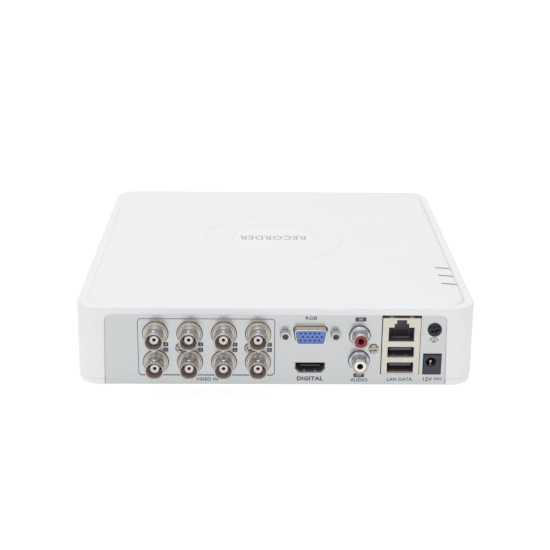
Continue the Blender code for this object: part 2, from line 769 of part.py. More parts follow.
def make_main_board(green, aluminium, steel, black_plastic):
    low = (-BOARD_HALF_WIDTH, BOARD_BACK, BOARD_BOTTOM)
    board = node("main_board", block("main_board", low, (BOARD_HALF_WIDTH, BOARD_FRONT, BOARD_TOP), green))
    for x, y in BOARD_POSTS:
        cut(board, prism("screw_hole", circle(x, y, 1.6, 8), BOARD_BOTTOM - 1, BOARD_TOP + 1, green))

    half = 20.0
    base = 3.0
    height = 11.0
    fin = 1.4
    fins = 8
    pitch = (2 * half - fin) / (fins - 1)
    comb = [(half, 0.0)]
    for number in range(fins):
        right = half - number * pitch
        comb += [(right, base), (right, height), (right - fin, height), (right - fin, base)]
    comb = comb[:1] + comb[2:-1] + [(-half, 0.0)]
    mesh = prism("heatsink", comb, -half, half, aluminium)
    node("heatsink", mesh, (-8.0, -48.0, ON_BOARD + 1.6), FACING_BACK)

    cell = [(0, 0), (9.6, 0), (10.0, 0.4), (10.0, 3.2), (0, 3.2)]
    node("coin_battery", turned("coin_battery", cell, 24, steel), (-58.0, -32.0, ON_BOARD))
    can = [(0, 0), (6.0, 0), (6.0, 8.5), (5.4, 9.0), (1.0, 9.0), (1.0, 7.0), (0, 7.0)]
    node("buzzer", turned("buzzer", can, 16, black_plastic), (34.0, -30.0, ON_BOARD))


# ---- Hard disk ----------------------------------------------------------------------------------

def on_disk(x=0.0, y=0.0):
    """A place on the disk drive, in the whole object's coordinates."""
    return (DISK_CENTRE[0] + x, DISK_CENTRE[1] + y, DISK_CENTRE[2])


def make_hard_disk(aluminium, steel, mirror, green):
    """A 3.5 inch drive: cast case, flat cover, one platter on its hub, arm and circuit board."""
    case_top = 24.8
    board_recess = 2.5
    pocket_floor = 8.0
    corners = rectangle(-DISK_HALF_LENGTH, DISK_HALF_LENGTH, -DISK_HALF_WIDTH, DISK_HALF_WIDTH)
    plan = rounded(corners, 3.0, 2)
    case = node("disk_case", prism("disk_case", plan, 0.0, case_top, aluminium), on_disk())
    round_pocket = circle(*SPINDLE, PLATTER_RADIUS + 1.8, 40)
    cut(case, prism("platter_pocket", round_pocket, pocket_floor, case_top + 1, aluminium))
    arm_pocket = rounded(rectangle(5.0, 68.0, -46.0, 46.0), 5.0, 2)
    cut(case, prism("arm_pocket", arm_pocket, pocket_floor, case_top + 1, aluminium))
    recess = rectangle(-58.0, 38.0, -42.0, 42.0)
    cut(case, prism("board_recess", recess, -1.0, board_recess, aluminium))

    cover_low, cover_high = case_top + GAP, 26.1
    node("disk_cover", prism("disk_cover", plan, cover_low, cover_high, steel), on_disk())
    node("disk_circuit_board", block("disk_circuit_board", (-57, -41, 0.3), (37, 41, 1.9), green), on_disk())

    hub = 12.5
    clamp = 13.5
    profile = [
        (0, pocket_floor + 0.4),
        (hub, pocket_floor + 0.4),
        (hub, 14.0),
        (PLATTER_RADIUS, 14.0),
        (PLATTER_RADIUS, 15.6),
        (clamp, 15.6),
        (clamp, 20.0),
        (0, 20.0),
    ]
    node("disk_platters", turned("disk_platters", profile, 32, mirror), on_disk(*SPINDLE))

    arm_low, arm_high = 16.1, 17.6
    root_half, tip_half = 5.0, 1.8
    tail_length, tail_half = 15.0, 9.0
    outline = [
        (-tail_length, -tail_half),
        (0.0, -root_half),
        (ARM_LENGTH, -tip_half),
        (ARM_LENGTH, tip_half),
        (0.0, root_half),
        (-tail_length, tail_half),
    ]
    turn = (0.0, 0.0, ARM_PARK_ANGLE)
    mesh = prism("disk_actuator", outline, arm_low, arm_high, aluminium)
    arm = node("disk_actuator", mesh, on_disk(*ARM_PIVOT), turn)
    pivot = circle(0.0, 0.0, 7.0, 20)
    join(arm, prism("pivot_hub", pivot, pocket_floor + 0.4, 20.0, aluminium))


# ---- Internal cables ----------------------------------------------------------------------------

def smooth_route(route, steps):
    """Points on a smooth curve through the route's own points."""
    points = [Vector(p) for p in (route[0], *route, route[-1])]
    smooth = []
    for before, start, end, after in zip(points, points[1:], points[2:], points[3:]):
        for step in range(steps):
            t = step / steps
            pull = (end - before) * t + (2 * before - 5 * start + 4 * end - after) * t**2
            pull += (3 * start - before - 3 * end + after) * t**3
            smooth.append(start + pull / 2)
    return smooth + [points[-1]]


def make_cable(name, route, radius, made_of):
    curve = bpy.data.curves.new(name, "CURVE")
    curve.dimensions = "3D"
    curve.bevel_depth = radius * MM
    curve.bevel_resolution = 2
    curve.use_fill_caps = True
    points = smooth_route(route, 2)
    spline = curve.splines.new("POLY")
    spline.points.add(len(points) - 1)
    for target, point in zip(spline.points, points):
        target.co = (*(point * MM), 1.0)
    curve.materials.append(made_of)
    cable = bpy.data.objects.new(name, curve)
    bpy.context.scene.collection.objects.link(cable)


def make_cables(cable_red, cable_black):
    data = [
        (74.5, 62, 15), (82, 57, 15), (86, 42, 14), (86, 18, 14), (80, 0, 14), (70, -12, 13), (60, -18, 12),
    ]
    power = [
        (74.5, 78, 15), (84, 76, 19), (91, 60, 22), (92, 25, 22), (86, -6, 20), (76, -26, 16), (64, -36, 12),
    ]
    make_cable("disk_data_cable", data, 2.2, cable_red)
    make_cable("disk_power_cable", power, 2.4, cable_black)


# ---- The whole recorder -------------------------------------------------------------------------

def main():
    for old in list(bpy.data.objects):
        bpy.data.objects.remove(old, do_unlink=True)

    white = material("case_white", (238, 238, 236), 0.45)
    warm_white = material("emblem_white", (243, 241, 235), 0.4)
    clear_grey = material("light_guide", (178, 180, 182), 0.3)
    rubber = material("rubber", (38, 38, 40), 0.85)
    sheet = material("panel_sheet", (210, 213, 216), 0.5)
    nickel = material("nickel", (205, 198, 186), 0.28, 1.0)
    steel = material("steel", (196, 196, 196), 0.3, 1.0)
    black_metal = material("black_metal", (32, 32, 34), 0.4, 0.6)
    aluminium = material("aluminium", (188, 190, 193), 0.4, 1.0)
    mirror = material("platter_mirror", (214, 214, 216), 0.05, 1.0)
    white_plastic = material("insulator_white", (240, 238, 230), 0.4)
    black_plastic = material("black_plastic", (28, 28, 30), 0.5)
    red_plastic = material("red_plastic", (176, 40, 62), 0.4)
    blue_plastic = material("blue_plastic", (72, 104, 190), 0.45)
    green = material("board_green", (28, 92, 58), 0.5)
    cable_red = material("cable_red", (170, 36, 44), 0.45)
    cable_black = material("cable_black", (28, 28, 30), 0.45)

    make_top_cover(white)
    make_emblem_disc(warm_white)
    make_light_guide(clear_grey)
    make_base_tray(white)
    make_rubber_feet(rubber)
    make_screws(steel, black_metal)
    make_rear_panel(sheet)
    make_video_inputs(nickel, white_plastic, black_plastic)
    make_monitor_socket(nickel, blue_plastic)
    make_digital_video_socket(nickel, black_plastic)
    make_audio_pair(nickel, red_plastic, white_plastic, black_plastic)
    make_network_usb_stack(nickel, black_plastic)
    make_dc_jack(black_plastic)
    make_main_board(green, aluminium, steel, black_plastic)
    make_hard_disk(aluminium, steel, mirror, green)
    make_cables(cable_red, cable_black)


main()
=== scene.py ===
"""The looks of the desktop video recorder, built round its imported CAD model.

Lengths are in millimetres, and are turned into metres when a mesh is made. +X is to the right of
someone facing the connector panel, the panel faces -Y, and +Z is up.
"""

import math
import random

import bmesh
import bpy
from mathutils import Matrix, Vector


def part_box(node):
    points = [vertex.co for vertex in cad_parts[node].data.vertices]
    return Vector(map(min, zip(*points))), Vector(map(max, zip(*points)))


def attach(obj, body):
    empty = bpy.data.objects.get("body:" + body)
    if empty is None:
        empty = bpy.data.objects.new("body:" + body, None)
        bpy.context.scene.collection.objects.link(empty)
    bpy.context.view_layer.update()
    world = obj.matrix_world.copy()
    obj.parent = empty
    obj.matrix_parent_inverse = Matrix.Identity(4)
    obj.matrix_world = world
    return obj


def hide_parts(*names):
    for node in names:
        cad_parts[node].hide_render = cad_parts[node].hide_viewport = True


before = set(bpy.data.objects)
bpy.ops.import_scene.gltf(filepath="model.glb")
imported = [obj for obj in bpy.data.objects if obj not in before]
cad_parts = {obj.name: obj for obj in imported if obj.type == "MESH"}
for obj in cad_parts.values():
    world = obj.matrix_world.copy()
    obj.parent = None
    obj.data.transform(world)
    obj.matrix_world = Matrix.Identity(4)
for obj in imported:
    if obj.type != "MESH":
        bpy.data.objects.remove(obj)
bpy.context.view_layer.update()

MM = 0.001
SMOOTH_ANGLE = math.radians(35)


def box(node):
    """A CAD node's lowest and highest corner, in millimetres."""
    low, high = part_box(node)
    return low / MM, high / MM


def middle(node):
    low, high = box(node)
    return (low + high) / 2


# ---- Places read from the CAD model ----

COVER_LOW, COVER_HIGH = box("top_cover")
HALF_WIDTH = (COVER_HIGH.x - COVER_LOW.x) / 2
BODY_CENTRE_Y = (COVER_HIGH.y + COVER_LOW.y) / 2
BACK = BODY_CENTRE_Y - HALF_WIDTH
TOP = COVER_HIGH.z
CEILING = TOP - 2
COVER_BOTTOM = COVER_LOW.z
FLOOR_BOTTOM = box("base_tray")[0].z
FLOOR_TOP = FLOOR_BOTTOM + 2.4
BASE_RIM_TOP = COVER_BOTTOM - 0.1
LIP_TOP = 8.5
PANEL_LOW, PANEL_HIGH = box("rear_panel")
PANEL_FACE = PANEL_LOW.y
PANEL_HALF_WIDTH = PANEL_HIGH.x
PANEL_NARROWING = 1.1
PANEL_TOP = PANEL_HIGH.z
PANEL_THICKNESS = 1
BOARD_LOW, BOARD_HIGH = box("main_board")
BOARD_TOP = BOARD_HIGH.z
GAP = 0.3

FACING_BACK = (math.radians(90), 0, 0)
FACING_DOWN = (math.radians(180), 0, 0)
UPRIGHT = (0, 0, 0)


# ---- Materials ----

def linear(value):
    """An sRGB value of 0 to 255 as scene-linear light."""
    share = value / 255
    return share / 12.92 if share <= 0.04045 else ((share + 0.055) / 1.055) ** 2.4


def shade(colour):
    return [linear(v) for v in colour] + [1]


class Graph:
    """The node tree of a material or of the world, with short calls for the nodes that are used here."""

    def __init__(self, owner, shader):
        owner.use_nodes = True
        self.tree = owner.node_tree
        self.shader = self.tree.nodes[shader]

    def node(self, kind, **values):
        made = self.tree.nodes.new(kind)
        for key, value in values.items():
            if hasattr(made, key):
                setattr(made, key, value)
            else:
                made.inputs[key.replace("_", " ")].default_value = value
        return made

    def link(self, output, node, socket):
        self.tree.links.new(output, node.inputs[socket])

    def place(self, stretch=(1, 1, 1), round_z=False):
        """The piece's own coordinates, shifted by a random amount so that no two copies look alike."""
        coordinates = self.node("ShaderNodeTexCoord").outputs["Object"]
        if round_z:
            split = self.node("ShaderNodeSeparateXYZ")
            self.link(coordinates, split, 0)
            flat = self.node("ShaderNodeCombineXYZ")
            for axis in "XY":
                self.link(split.outputs[axis], flat, axis)
            radius = self.node("ShaderNodeVectorMath", operation="LENGTH")
            self.link(flat.outputs[0], radius, 0)
            rings = self.node("ShaderNodeCombineXYZ")
            self.link(radius.outputs["Value"], rings, "X")
            self.link(split.outputs["Z"], rings, "Y")
            coordinates = rings.outputs[0]
        scaled = self.node("ShaderNodeVectorMath", operation="MULTIPLY")
        scaled.inputs[1].default_value = stretch
        self.link(coordinates, scaled, 0)
        chance = self.node("ShaderNodeObjectInfo").outputs["Random"]
        shifted = self.node("ShaderNodeVectorMath", operation="ADD")
        self.link(scaled.outputs[0], shifted, 0)
        self.link(chance, shifted, 1)
        return shifted.outputs[0]

    def noise(self, place, size, detail=3):
        """Noise whose patches are about size millimetres across."""
        made = self.node("ShaderNodeTexNoise", Scale=1 / (size * MM), Detail=detail, Roughness=0.6)
        self.link(place, made, "Vector")
        return made.outputs["Fac"]

    def between(self, value, low, high, start=0.3, end=0.7):
        """The value, which runs from start to end, turned into low to high."""
        made = self.node("ShaderNodeMapRange")
        for socket, number in (("From Min", start), ("From Max", end), ("To Min", low), ("To Max", high)):
            made.inputs[socket].default_value = number
        self.link(value, made, "Value")
        return made.outputs["Result"]

    def blend(self, factor, first, second):
        """A mix of two colours, each a list or a socket."""
        made = self.node("ShaderNodeMix", data_type="RGBA")
        self.link(factor, made, 0)
        for index, colour in ((6, first), (7, second)):
            if isinstance(colour, list):
                made.inputs[index].default_value = colour
            else:
                self.link(colour, made, index)
        return made.outputs[2]

    def ramp(self, value, stops):
        """The value turned into grey by (position, brightness) stops."""
        made = self.node("ShaderNodeValToRGB")
        elements = made.color_ramp.elements
        while len(elements) < len(stops):
            elements.new(0.5)
        for element, (position, level) in zip(elements, stops):
            element.position = position
            element.color = (level, level, level, 1)
        self.link(value, made, 0)
        return made.outputs[0]

    def finish(self, tone, gloss, relief, strength, bump):
        """Colour, roughness and a bump of so many millimetres, linked to the shader."""
        self.link(tone, self.shader, "Base Color")
        self.link(gloss, self.shader, "Roughness")
        height = self.node("ShaderNodeBump", Strength=strength, Distance=bump * MM)
        self.link(relief, height, "Height")
        self.link(height.outputs[0], self.shader, "Normal")


def surface(
    name, colour, roughness, metallic, mottle, speckle, patch, grain, bump,
    uneven=0.06, edge_wear_and_glint=0, stretch=(1, 1, 1), lathe=False,
):
    """A finish with mottled colour, speckle, uneven gloss and a fine grain.

    mottle and speckle are shares of the colour. patch and grain are sizes and bump is a height, in
    millimetres. The edge share brightens raised edges, partly as wear and partly as a painted edge highlight,
    and lathe lays the grain in rings about Z.
    """
    material = bpy.data.materials.new(name)
    graph = Graph(material, "Principled BSDF")
    place = graph.place(stretch, lathe)
    patches = graph.noise(place, patch)
    specks = graph.noise(place, grain * 1.7, 2)
    plain = shade(colour)[:3]
    dark = [c * (1 - mottle) for c in plain] + [1]
    light = [min(c * (1 + mottle), 1) for c in plain] + [1]
    tone = graph.blend(graph.between(patches, 0, 1), dark, light)
    speck = graph.node("ShaderNodeMix", data_type="RGBA", blend_type="MULTIPLY")
    speck.inputs[0].default_value = 1
    graph.link(tone, speck, 6)
    level = graph.between(specks, 1 - 2 * speckle, 1, 0.35, 0.65)
    grey = graph.node("ShaderNodeCombineColor")
    for channel in range(3):
        graph.link(level, grey, channel)
    graph.link(grey.outputs[0], speck, 7)
    tone = speck.outputs[2]
    # Raised edges are brightened here: partly wear, partly a painted edge highlight.
    if edge_wear_and_glint:
        edges = graph.node("ShaderNodeNewGeometry").outputs["Pointiness"]
        factor = graph.between(edges, 0, edge_wear_and_glint, 0.52, 0.62)
        tone = graph.blend(factor, tone, [min(c * 2.2 + 0.08, 0.9) for c in plain] + [1])
    gloss = graph.noise(place, patch * 0.3)
    gloss = graph.between(gloss, max(roughness - uneven, 0.03), min(roughness + uneven, 1))
    graph.finish(tone, gloss, graph.noise(place, grain, 2), 1, bump)
    graph.shader.inputs["Metallic"].default_value = metallic
    return material


def circuit_board(name, colour):
    """Solder mask over copper tracks: straight lighter tracks, ringed holes and a silky gloss."""
    material = bpy.data.materials.new(name)
    graph = Graph(material, "Principled BSDF")
    place = graph.place()
    tracks = graph.node(
        "ShaderNodeTexBrick", Scale=1, Mortar_Size=0.3 * MM, Brick_Width=11 * MM, Row_Height=1.6 * MM
    )
    tracks.inputs["Color1"].default_value = (1, 1, 1, 1)
    tracks.inputs["Color2"].default_value = (0.6, 0.6, 0.6, 1)
    tracks.inputs["Mortar"].default_value = (0, 0, 0, 1)
    graph.link(place, tracks, "Vector")
    field = graph.between(graph.noise(place, 9), 0, 1, 0.45, 0.55)
    base, track = shade(colour), [c * 1.75 for c in shade(colour)[:3]] + [1]
    lines = graph.node("ShaderNodeMath", operation="MULTIPLY")
    graph.link(tracks.outputs["Color"], lines, 0)
    graph.link(field, lines, 1)
    tone = graph.blend(lines.outputs[0], base, track)
    holes = graph.node("ShaderNodeTexVoronoi", Scale=1 / (5.5 * MM), feature="F1")
    graph.link(place, holes, "Vector")
    ring = graph.between(holes.outputs["Distance"], 1, 0, 0.07, 0.09)
    tone = graph.blend(ring, tone, shade((196, 178, 120)))
    graph.finish(tone, graph.between(graph.noise(place, 3), 0.28, 0.45), lines.outputs[0], 0.6, 0.03)
    return material


WHITE = surface("white_case_plastic", (235, 234, 237), 0.46, 0, 0.006, 0.006, 60, 0.4, 0.01)
EMBLEM = surface("emblem_plastic", (236, 236, 236), 0.42, 0, 0.003, 0.0015, 30, 0.8, 0.0015)
GUIDE = surface("light_guide_plastic", (74, 74, 82), 0.3, 0, 0.05, 0.01, 3, 0.5, 0.01)
SHEET = surface("panel_satin_metal", (195, 197, 198), 0.24, 0.95, 0.008, 0.001, 9, 0.4, 0.0003, uneven=0.03)
NICKEL = surface(
    "turned_nickel", (207, 208, 211), 0.27, 1, 0.07, 0.03, 2.2, 0.12, 0.003, uneven=0.08, edge_wear_and_glint=0.3, lathe=True
)
NICKEL_WARM = surface(
    "plated_flange", (191, 182, 170), 0.26, 1, 0.06, 0.02, 2.2, 0.12, 0.002, edge_wear_and_glint=0.2, lathe=True
)
# A plating tone for barrel lips, post tips, screw heads and the power pin, set to how they look under the
# light: partly the plating, partly painted light.
PLATING_PAINTED_LIGHT = surface("plated_rim_painted_light", (194, 185, 177), 0.24, 0.95, 0.04, 0.01, 2, 0.12, 0.001, lathe=True)
# A duller, browner nickel for bores, threads and a bar deep in a socket: painted shade.
NICKEL_PAINTED_SHADE = surface("nickel_bore_painted_shade", (168, 155, 152), 0.45, 0.2, 0.08, 0.01, 2.5, 0.2, 0.004, lathe=True)
PRESSED = surface("pressed_nickel", (228, 220, 207), 0.22, 1, 0.01, 0.001, 4, 0.6, 0.0001)
TIN = surface("tinned_steel", (214, 207, 196), 0.42, 0.8, 0.04, 0.02, 5, 0.25, 0.004)
STEEL = surface("zinc_steel", (196, 194, 190), 0.3, 1, 0.07, 0.01, 3, 0.3, 0.005, edge_wear_and_glint=0.25)
# Blackened steel for the ground screw; as the sleeve inside each phono hole it is painted shade.
BLACK_STEEL_AND_SHADE = surface("blackened_steel_and_painted_shade", (22, 22, 30), 0.26, 0.2, 0.15, 0.01, 1.5, 0.25, 0.01, edge_wear_and_glint=0.35)
# Gold darkened to a brown for contacts deep in holes: painted shade.
GOLD_PAINTED_SHADE = surface("gold_contact_painted_shade", (92, 66, 50), 0.4, 0.6, 0.08, 0.01, 1, 0.1, 0.002)
GOLD = surface("gold_contact", (214, 168, 92), 0.25, 1, 0.08, 0.01, 1, 0.1, 0.002)
PTFE = surface("white_insulator", (247, 246, 244), 0.38, 0, 0.015, 0.01, 2, 0.3, 0.006)
RED = surface("red_insulator", (156, 30, 52), 0.34, 0, 0.05, 0.02, 2, 0.3, 0.006)
BLUE = surface("blue_insert", (98, 130, 200), 0.42, 0, 0.03, 0.02, 3, 0.3, 0.008)
NAVY = surface("pin_hole_shade", (62, 76, 140), 0.6, 0, 0.1, 0.01, 1, 0.3, 0.004)
BLACK = surface("black_moulding", (30, 30, 34), 0.42, 0, 0.08, 0.03, 4, 0.3, 0.012)
# A grey lighter than the black mouldings, used inside socket openings: painted light that lifts their shade.
CAVITY_PAINTED_LIGHT = surface("socket_moulding_painted_light", (104, 100, 112), 0.45, 0, 0.06, 0.02, 4, 0.3, 0.01)
TONGUE = surface("socket_tongue", (80, 78, 92), 0.36, 0, 0.05, 0.01, 2, 0.3, 0.008)
# A dark moulding for the power jack and the digital tongue; inside the phono rings' holes it is painted
# shade.
DARK_MOULDING_AND_SHADE = surface("jack_moulding_and_painted_shade", (48, 47, 62), 0.36, 0, 0.05, 0.02, 3, 0.35, 0.012)
RUBBER = surface("foot_rubber", (40, 40, 43), 0.8, 0, 0.1, 0.05, 3, 0.5, 0.03)
INK = surface("printed_ink_dark", (80, 78, 90), 0.55, 0, 0.06, 0.04, 1.2, 0.2, 0.004)
INK_SOFT = surface("printed_ink_grey", (112, 110, 119), 0.55, 0, 0.06, 0.04, 1.2, 0.2, 0.004)
INK_PALE = surface("printed_ink_pale", (212, 212, 218), 0.55, 0, 0.04, 0.03, 1, 0.2, 0.004)
EMBLEM_INK = surface("emblem_ink", (178, 177, 183), 0.4, 0, 0.05, 0.03, 3, 0.3, 0.004)
CAST = surface("cast_aluminium", (168, 170, 174), 0.46, 1, 0.07, 0.05, 6, 1.1, 0.05, edge_wear_and_glint=0.25)
BRUSHED = surface("brushed_steel", (190, 191, 193), 0.3, 1, 0.05, 0.04, 20, 0.5, 0.006, stretch=(0.04, 1, 1))
FINNED = surface("drawn_aluminium", (176, 178, 182), 0.34, 1, 0.05, 0.03, 6, 0.4, 0.01, stretch=(1, 1, 0.05))
MIRROR = surface("platter_mirror", (214, 214, 216), 0.06, 1, 0.02, 0.01, 30, 2, 0.0005, uneven=0.02)
BOARD = circuit_board("board_green", (22, 84, 50))
DISK_BOARD = circuit_board("disk_board_green", (26, 70, 46))
CHIP = surface("chip_epoxy", (36, 36, 39), 0.5, 0, 0.06, 0.06, 4, 0.25, 0.01)
CERAMIC = surface("ceramic_part", (150, 118, 84), 0.45, 0, 0.1, 0.01, 1, 0.2, 0.004)
SLEEVE = surface("capacitor_sleeve", (44, 48, 66), 0.32, 0, 0.05, 0.01, 3, 0.5, 0.006)
LABEL = surface("blank_label", (228, 228, 224), 0.5, 0, 0.02, 0.02, 12, 0.3, 0.008)
NYLON = surface("nylon_housing", (232, 228, 214), 0.42, 0, 0.02, 0.01, 3, 0.4, 0.01)
CABLE_RED = surface("red_cable_jacket", (168, 32, 40), 0.42, 0, 0.04, 0.01, 6, 0.5, 0.02)
CABLE_BLACK = surface("black_cable_jacket", (30, 30, 33), 0.42, 0, 0.06, 0.01, 6, 0.5, 0.02)


# ---- Mesh makers ----

def add(name, data):
    """A new object in the scene."""
    made = bpy.data.objects.new(name, data)
    bpy.context.scene.collection.objects.link(made)
    return made


def evaluated(made):
    """The object's shape as a mesh, with its modifiers applied."""
    bpy.context.view_layer.update()
    graph = bpy.context.evaluated_depsgraph_get()
    return bpy.data.meshes.new_from_object(made.evaluated_get(graph), depsgraph=graph)


def finished(bm, made_of, smooth_angle=SMOOTH_ANGLE):
    """The bmesh, in millimetres, as a mesh in metres with its faces pointing out."""
    bmesh.ops.recalc_face_normals(bm, faces=bm.faces)
    bmesh.ops.scale(bm, vec=(MM, MM, MM), verts=bm.verts)
    mesh = bpy.data.meshes.new("piece")
    bm.to_mesh(mesh)
    bm.free()
    for material in made_of if isinstance(made_of, (tuple, list)) else (made_of,):
        mesh.materials.append(material)
    mesh.shade_smooth()
    mesh.set_sharp_from_angle(angle=smooth_angle)
    return mesh


def loft(rings, made_of, looped=False):
    """Rings of equally many points, skinned one to the next.

    The first and the last ring are filled, or joined to each other when looped.
    """
    bm = bmesh.new()
    rows = [[bm.verts.new(point) for point in ring] for ring in rings]
    for low, high in zip(rows, rows[1:] + rows[:1] if looped else rows[1:]):
        for i in range(len(low)):
            j = (i + 1) % len(low)
            bm.faces.new((low[i], low[j], high[j], high[i]))
    if not looped:
        bm.faces.new(rows[0][::-1])
        bm.faces.new(rows[-1])
    return finished(bm, made_of)


def level(outline, z):
    """A flat outline at one height."""
    return [(x, y, z) for x, y in outline]


def prism(outline, low, high, made_of):
    """A flat outline in X and Y, carried from the height low to the height high."""
    return loft([level(outline, low), level(outline, high)], made_of)


def block(low, high, made_of):
    """A box between two opposite corners."""
    return prism(rectangle(low[0], high[0], low[1], high[1]), low[2], high[2], made_of)


def soften(profile, radius, steps=3):
    """An open line of points with each inner corner rounded."""
    points = [Vector(p) for p in profile]
    line = [points[0]]
    for before, corner, after in zip(points, points[1:], points[2:]):
        first = corner.lerp(before, min(radius / (before - corner).length, 0.45))
        last = corner.lerp(after, min(radius / (after - corner).length, 0.45))
        for step in range(steps + 1):
            share = step / steps
            line.append(first.lerp(corner, share).lerp(corner.lerp(last, share), share))
    return [tuple(p) for p in line] + [tuple(points[-1])]


def turned(profile, made_of, segments=48, changes=()):
    """A profile of (radius, height) points turned about Z, with its two ends on the axis.

    At each profile step listed in changes, the next material of made_of takes over.
    """
    bm = bmesh.new()
    rows = []
    for radius, height in profile:
        if radius < 1e-6:
            rows.append([bm.verts.new((0, 0, height))])
            continue
        angles = [math.tau * i / segments for i in range(segments)]
        rows.append([bm.verts.new((radius * math.cos(a), radius * math.sin(a), height)) for a in angles])
    for step, (low, high) in enumerate(zip(rows, rows[1:])):
        for i in range(segments):
            j = (i + 1) % segments
            corners = [low[i % len(low)], low[j % len(low)], high[j % len(high)], high[i % len(high)]]
            facet = bm.faces.new(list(dict.fromkeys(corners)))
            facet.material_index = sum(step >= change for change in changes)
    return finished(bm, made_of)


def hoop(section, made_of, centre=(0, 0), segments=96):
    """A closed section of (radius, height) points carried round a circle about Z."""
    rings = []
    for i in range(segments):
        angle = math.tau * i / segments
        x, y = math.cos(angle), math.sin(angle)
        rings.append([(centre[0] + r * x, centre[1] + r * y, z) for r, z in section])
    return loft(rings, made_of, looped=True)


def strip(outer, inner, low, high, made_of):
    """The band between two outlines of equally many points."""
    edges = ((outer, low), (outer, high), (inner, high), (inner, low))
    return loft([level(line, z) for line, z in edges], made_of, looped=True)


def tube(route, radius, made_of, sides=20):
    """A round tube along a smooth route, with closed ends."""
    points = smooth_route(route)
    angles = [math.tau * k / sides for k in range(sides)]
    rings = []
    across = Vector((0, 0, 1))
    for i, point in enumerate(points):
        ahead = (points[min(i + 1, len(points) - 1)] - points[max(i - 1, 0)]).normalized()
        across = across.cross(ahead).cross(ahead).normalized() * -1
        other = ahead.cross(across)
        rings.append([point + radius * (math.cos(a) * across + math.sin(a) * other) for a in angles])
    return loft(rings, made_of)


def smooth_route(route, steps=8):
    """Points on a smooth curve through the route's own points."""
    points = [Vector(p) for p in (route[0], *route, route[-1])]
    smooth = []
    for before, start, end, after in zip(points, points[1:], points[2:], points[3:]):
        for step in range(steps):
            t = step / steps
            pull = (end - before) * t + (2 * before - 5 * start + 4 * end - after) * t**2
            pull += (3 * start - before - 3 * end + after) * t**3
            smooth.append(start + pull / 2)
    return smooth + [points[-1]]


def rounded(points, radius, steps=6):
    """A convex outline, listed anticlockwise, with each corner rounded by an arc."""
    outline = []
    for i, point in enumerate(points):
        corner = Vector(point)
        before = (Vector(points[i - 1]) - corner).normalized()
        after = (Vector(points[(i + 1) % len(points)]) - corner).normalized()
        half_angle = before.angle(after) / 2
        centre = corner + (before + after).normalized() * radius / math.sin(half_angle)
        start = corner + before * radius / math.tan(half_angle) - centre
        sweep = math.pi - 2 * half_angle
        for step in range(steps + 1):
            turn = sweep * step / steps
            x = start.x * math.cos(turn) - start.y * math.sin(turn)
            y = start.x * math.sin(turn) + start.y * math.cos(turn)
            outline.append((centre.x + x, centre.y + y))
    return outline


def rectangle(low_x, high_x, low_y, high_y):
    """A plain rectangular outline, anticlockwise."""
    return [(low_x, low_y), (high_x, low_y), (high_x, high_y), (low_x, high_y)]


def circle(x, y, radius, segments=32):
    """A round outline, anticlockwise."""
    angles = [math.tau * (i + 0.5) / segments for i in range(segments)]
    return [(x + radius * math.cos(a), y + radius * math.sin(a)) for a in angles]


def rod(x, y, radius, low, high, made_of=WHITE, segments=20):
    """An upright round bar."""
    return prism(circle(x, y, radius, segments), low, high, made_of)


def centred(x, y, half_x, half_y):
    """A rectangular outline round its middle."""
    return rectangle(x - half_x, x + half_x, y - half_y, y + half_y)


def slab(x, y, half_x, half_y, low, high, made_of):
    """An upright box round its middle."""
    return prism(centred(x, y, half_x, half_y), low, high, made_of)


def shifted(outline, x, y):
    return [(px + x, py + y) for px, py in outline]


def moved(mesh, matrix):
    """The mesh after a move or turn given in millimetres."""
    scale = Matrix.Scale(MM, 4)
    mesh.transform(scale @ matrix @ scale.inverted())
    return mesh


def combined(base, tools, operation="DIFFERENCE"):
    """The base mesh after an exact Boolean with each tool. A cut face takes its tool's material."""
    target = add("combined", base)
    made = [target]
    for tool in tools:
        for material in tool.materials:
            if material.name not in base.materials:
                base.materials.append(material)
        made.append(add("tool", tool))
        boolean = target.modifiers.new("boolean", "BOOLEAN")
        boolean.operation = operation
        boolean.solver = "EXACT"
        boolean.material_mode = "TRANSFER"
        boolean.object = made[-1]
    result = evaluated(target)
    for helper in made:
        bpy.data.objects.remove(helper)
    result.shade_smooth()
    result.set_sharp_from_angle(angle=SMOOTH_ANGLE)
    return result


def merged(meshes):
    """Several separate solids as one mesh."""
    bm = bmesh.new()
    made_of = []
    for mesh in meshes:
        start = len(bm.faces)
        bm.from_mesh(mesh)
        bm.faces.ensure_lookup_table()
        made_of += [material for material in mesh.materials if material not in made_of]
        slots = [made_of.index(material) for material in mesh.materials]
        for facet in bm.faces[start:]:
            facet.material_index = slots[facet.material_index]
    bmesh.ops.scale(bm, vec=(1 / MM, 1 / MM, 1 / MM), verts=bm.verts)
    return finished(bm, made_of)


# ---- Pieces ----

def piece(name, mesh, slot, location=(0, 0, 0), rotation=UPRIGHT, body="housing", node="", edge=0):
    """Places one piece, gives its sharp edges a small round, and lets it ride on its body.

    node is the CAD node that it stands for, if there is one.
    """
    mesh.name = name
    made = add(name, mesh)
    made.location = Vector(location) * MM
    made.rotation_euler = rotation
    if edge:
        bevel = made.modifiers.new("edge", "BEVEL")
        bevel.width = edge * MM
        bevel.segments = 3
        bevel.limit_method = "ANGLE"
        bevel.angle_limit = math.radians(40)
        bevel.harden_normals = True
    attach(made, body)
    if node:
        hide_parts(node)
    return made


def on_panel(name, mesh, slot, x=0, z=0, **rest):
    """A piece drawn with +Z pointing out of the panel, placed on the panel's outer face."""
    return piece(name, mesh, slot, (x, PANEL_FACE, z), FACING_BACK, **rest)


# ---- Case ----

CORNER_RADIUS = 12
CORNER_STEPS = 14
STRAIGHT_STEPS = 10
CASE_SCREWS = [tuple(middle(f"cover_screw_{n}").xy) for n in range(1, 5)]
FEET = [tuple(middle(f"rubber_foot_{n}").xy) for n in range(1, 5)]
BOARD_POSTS = [(x, y) for x in (-78, 78) for y in (-80, -14)]
INDICATOR_ROWS = (-62, -50.2, -38.6)
SLOT_START = 86.2
EMBLEM_PLACE = tuple(middle("emblem_disc").xy)
EMBLEM_RADIUS = 23.5


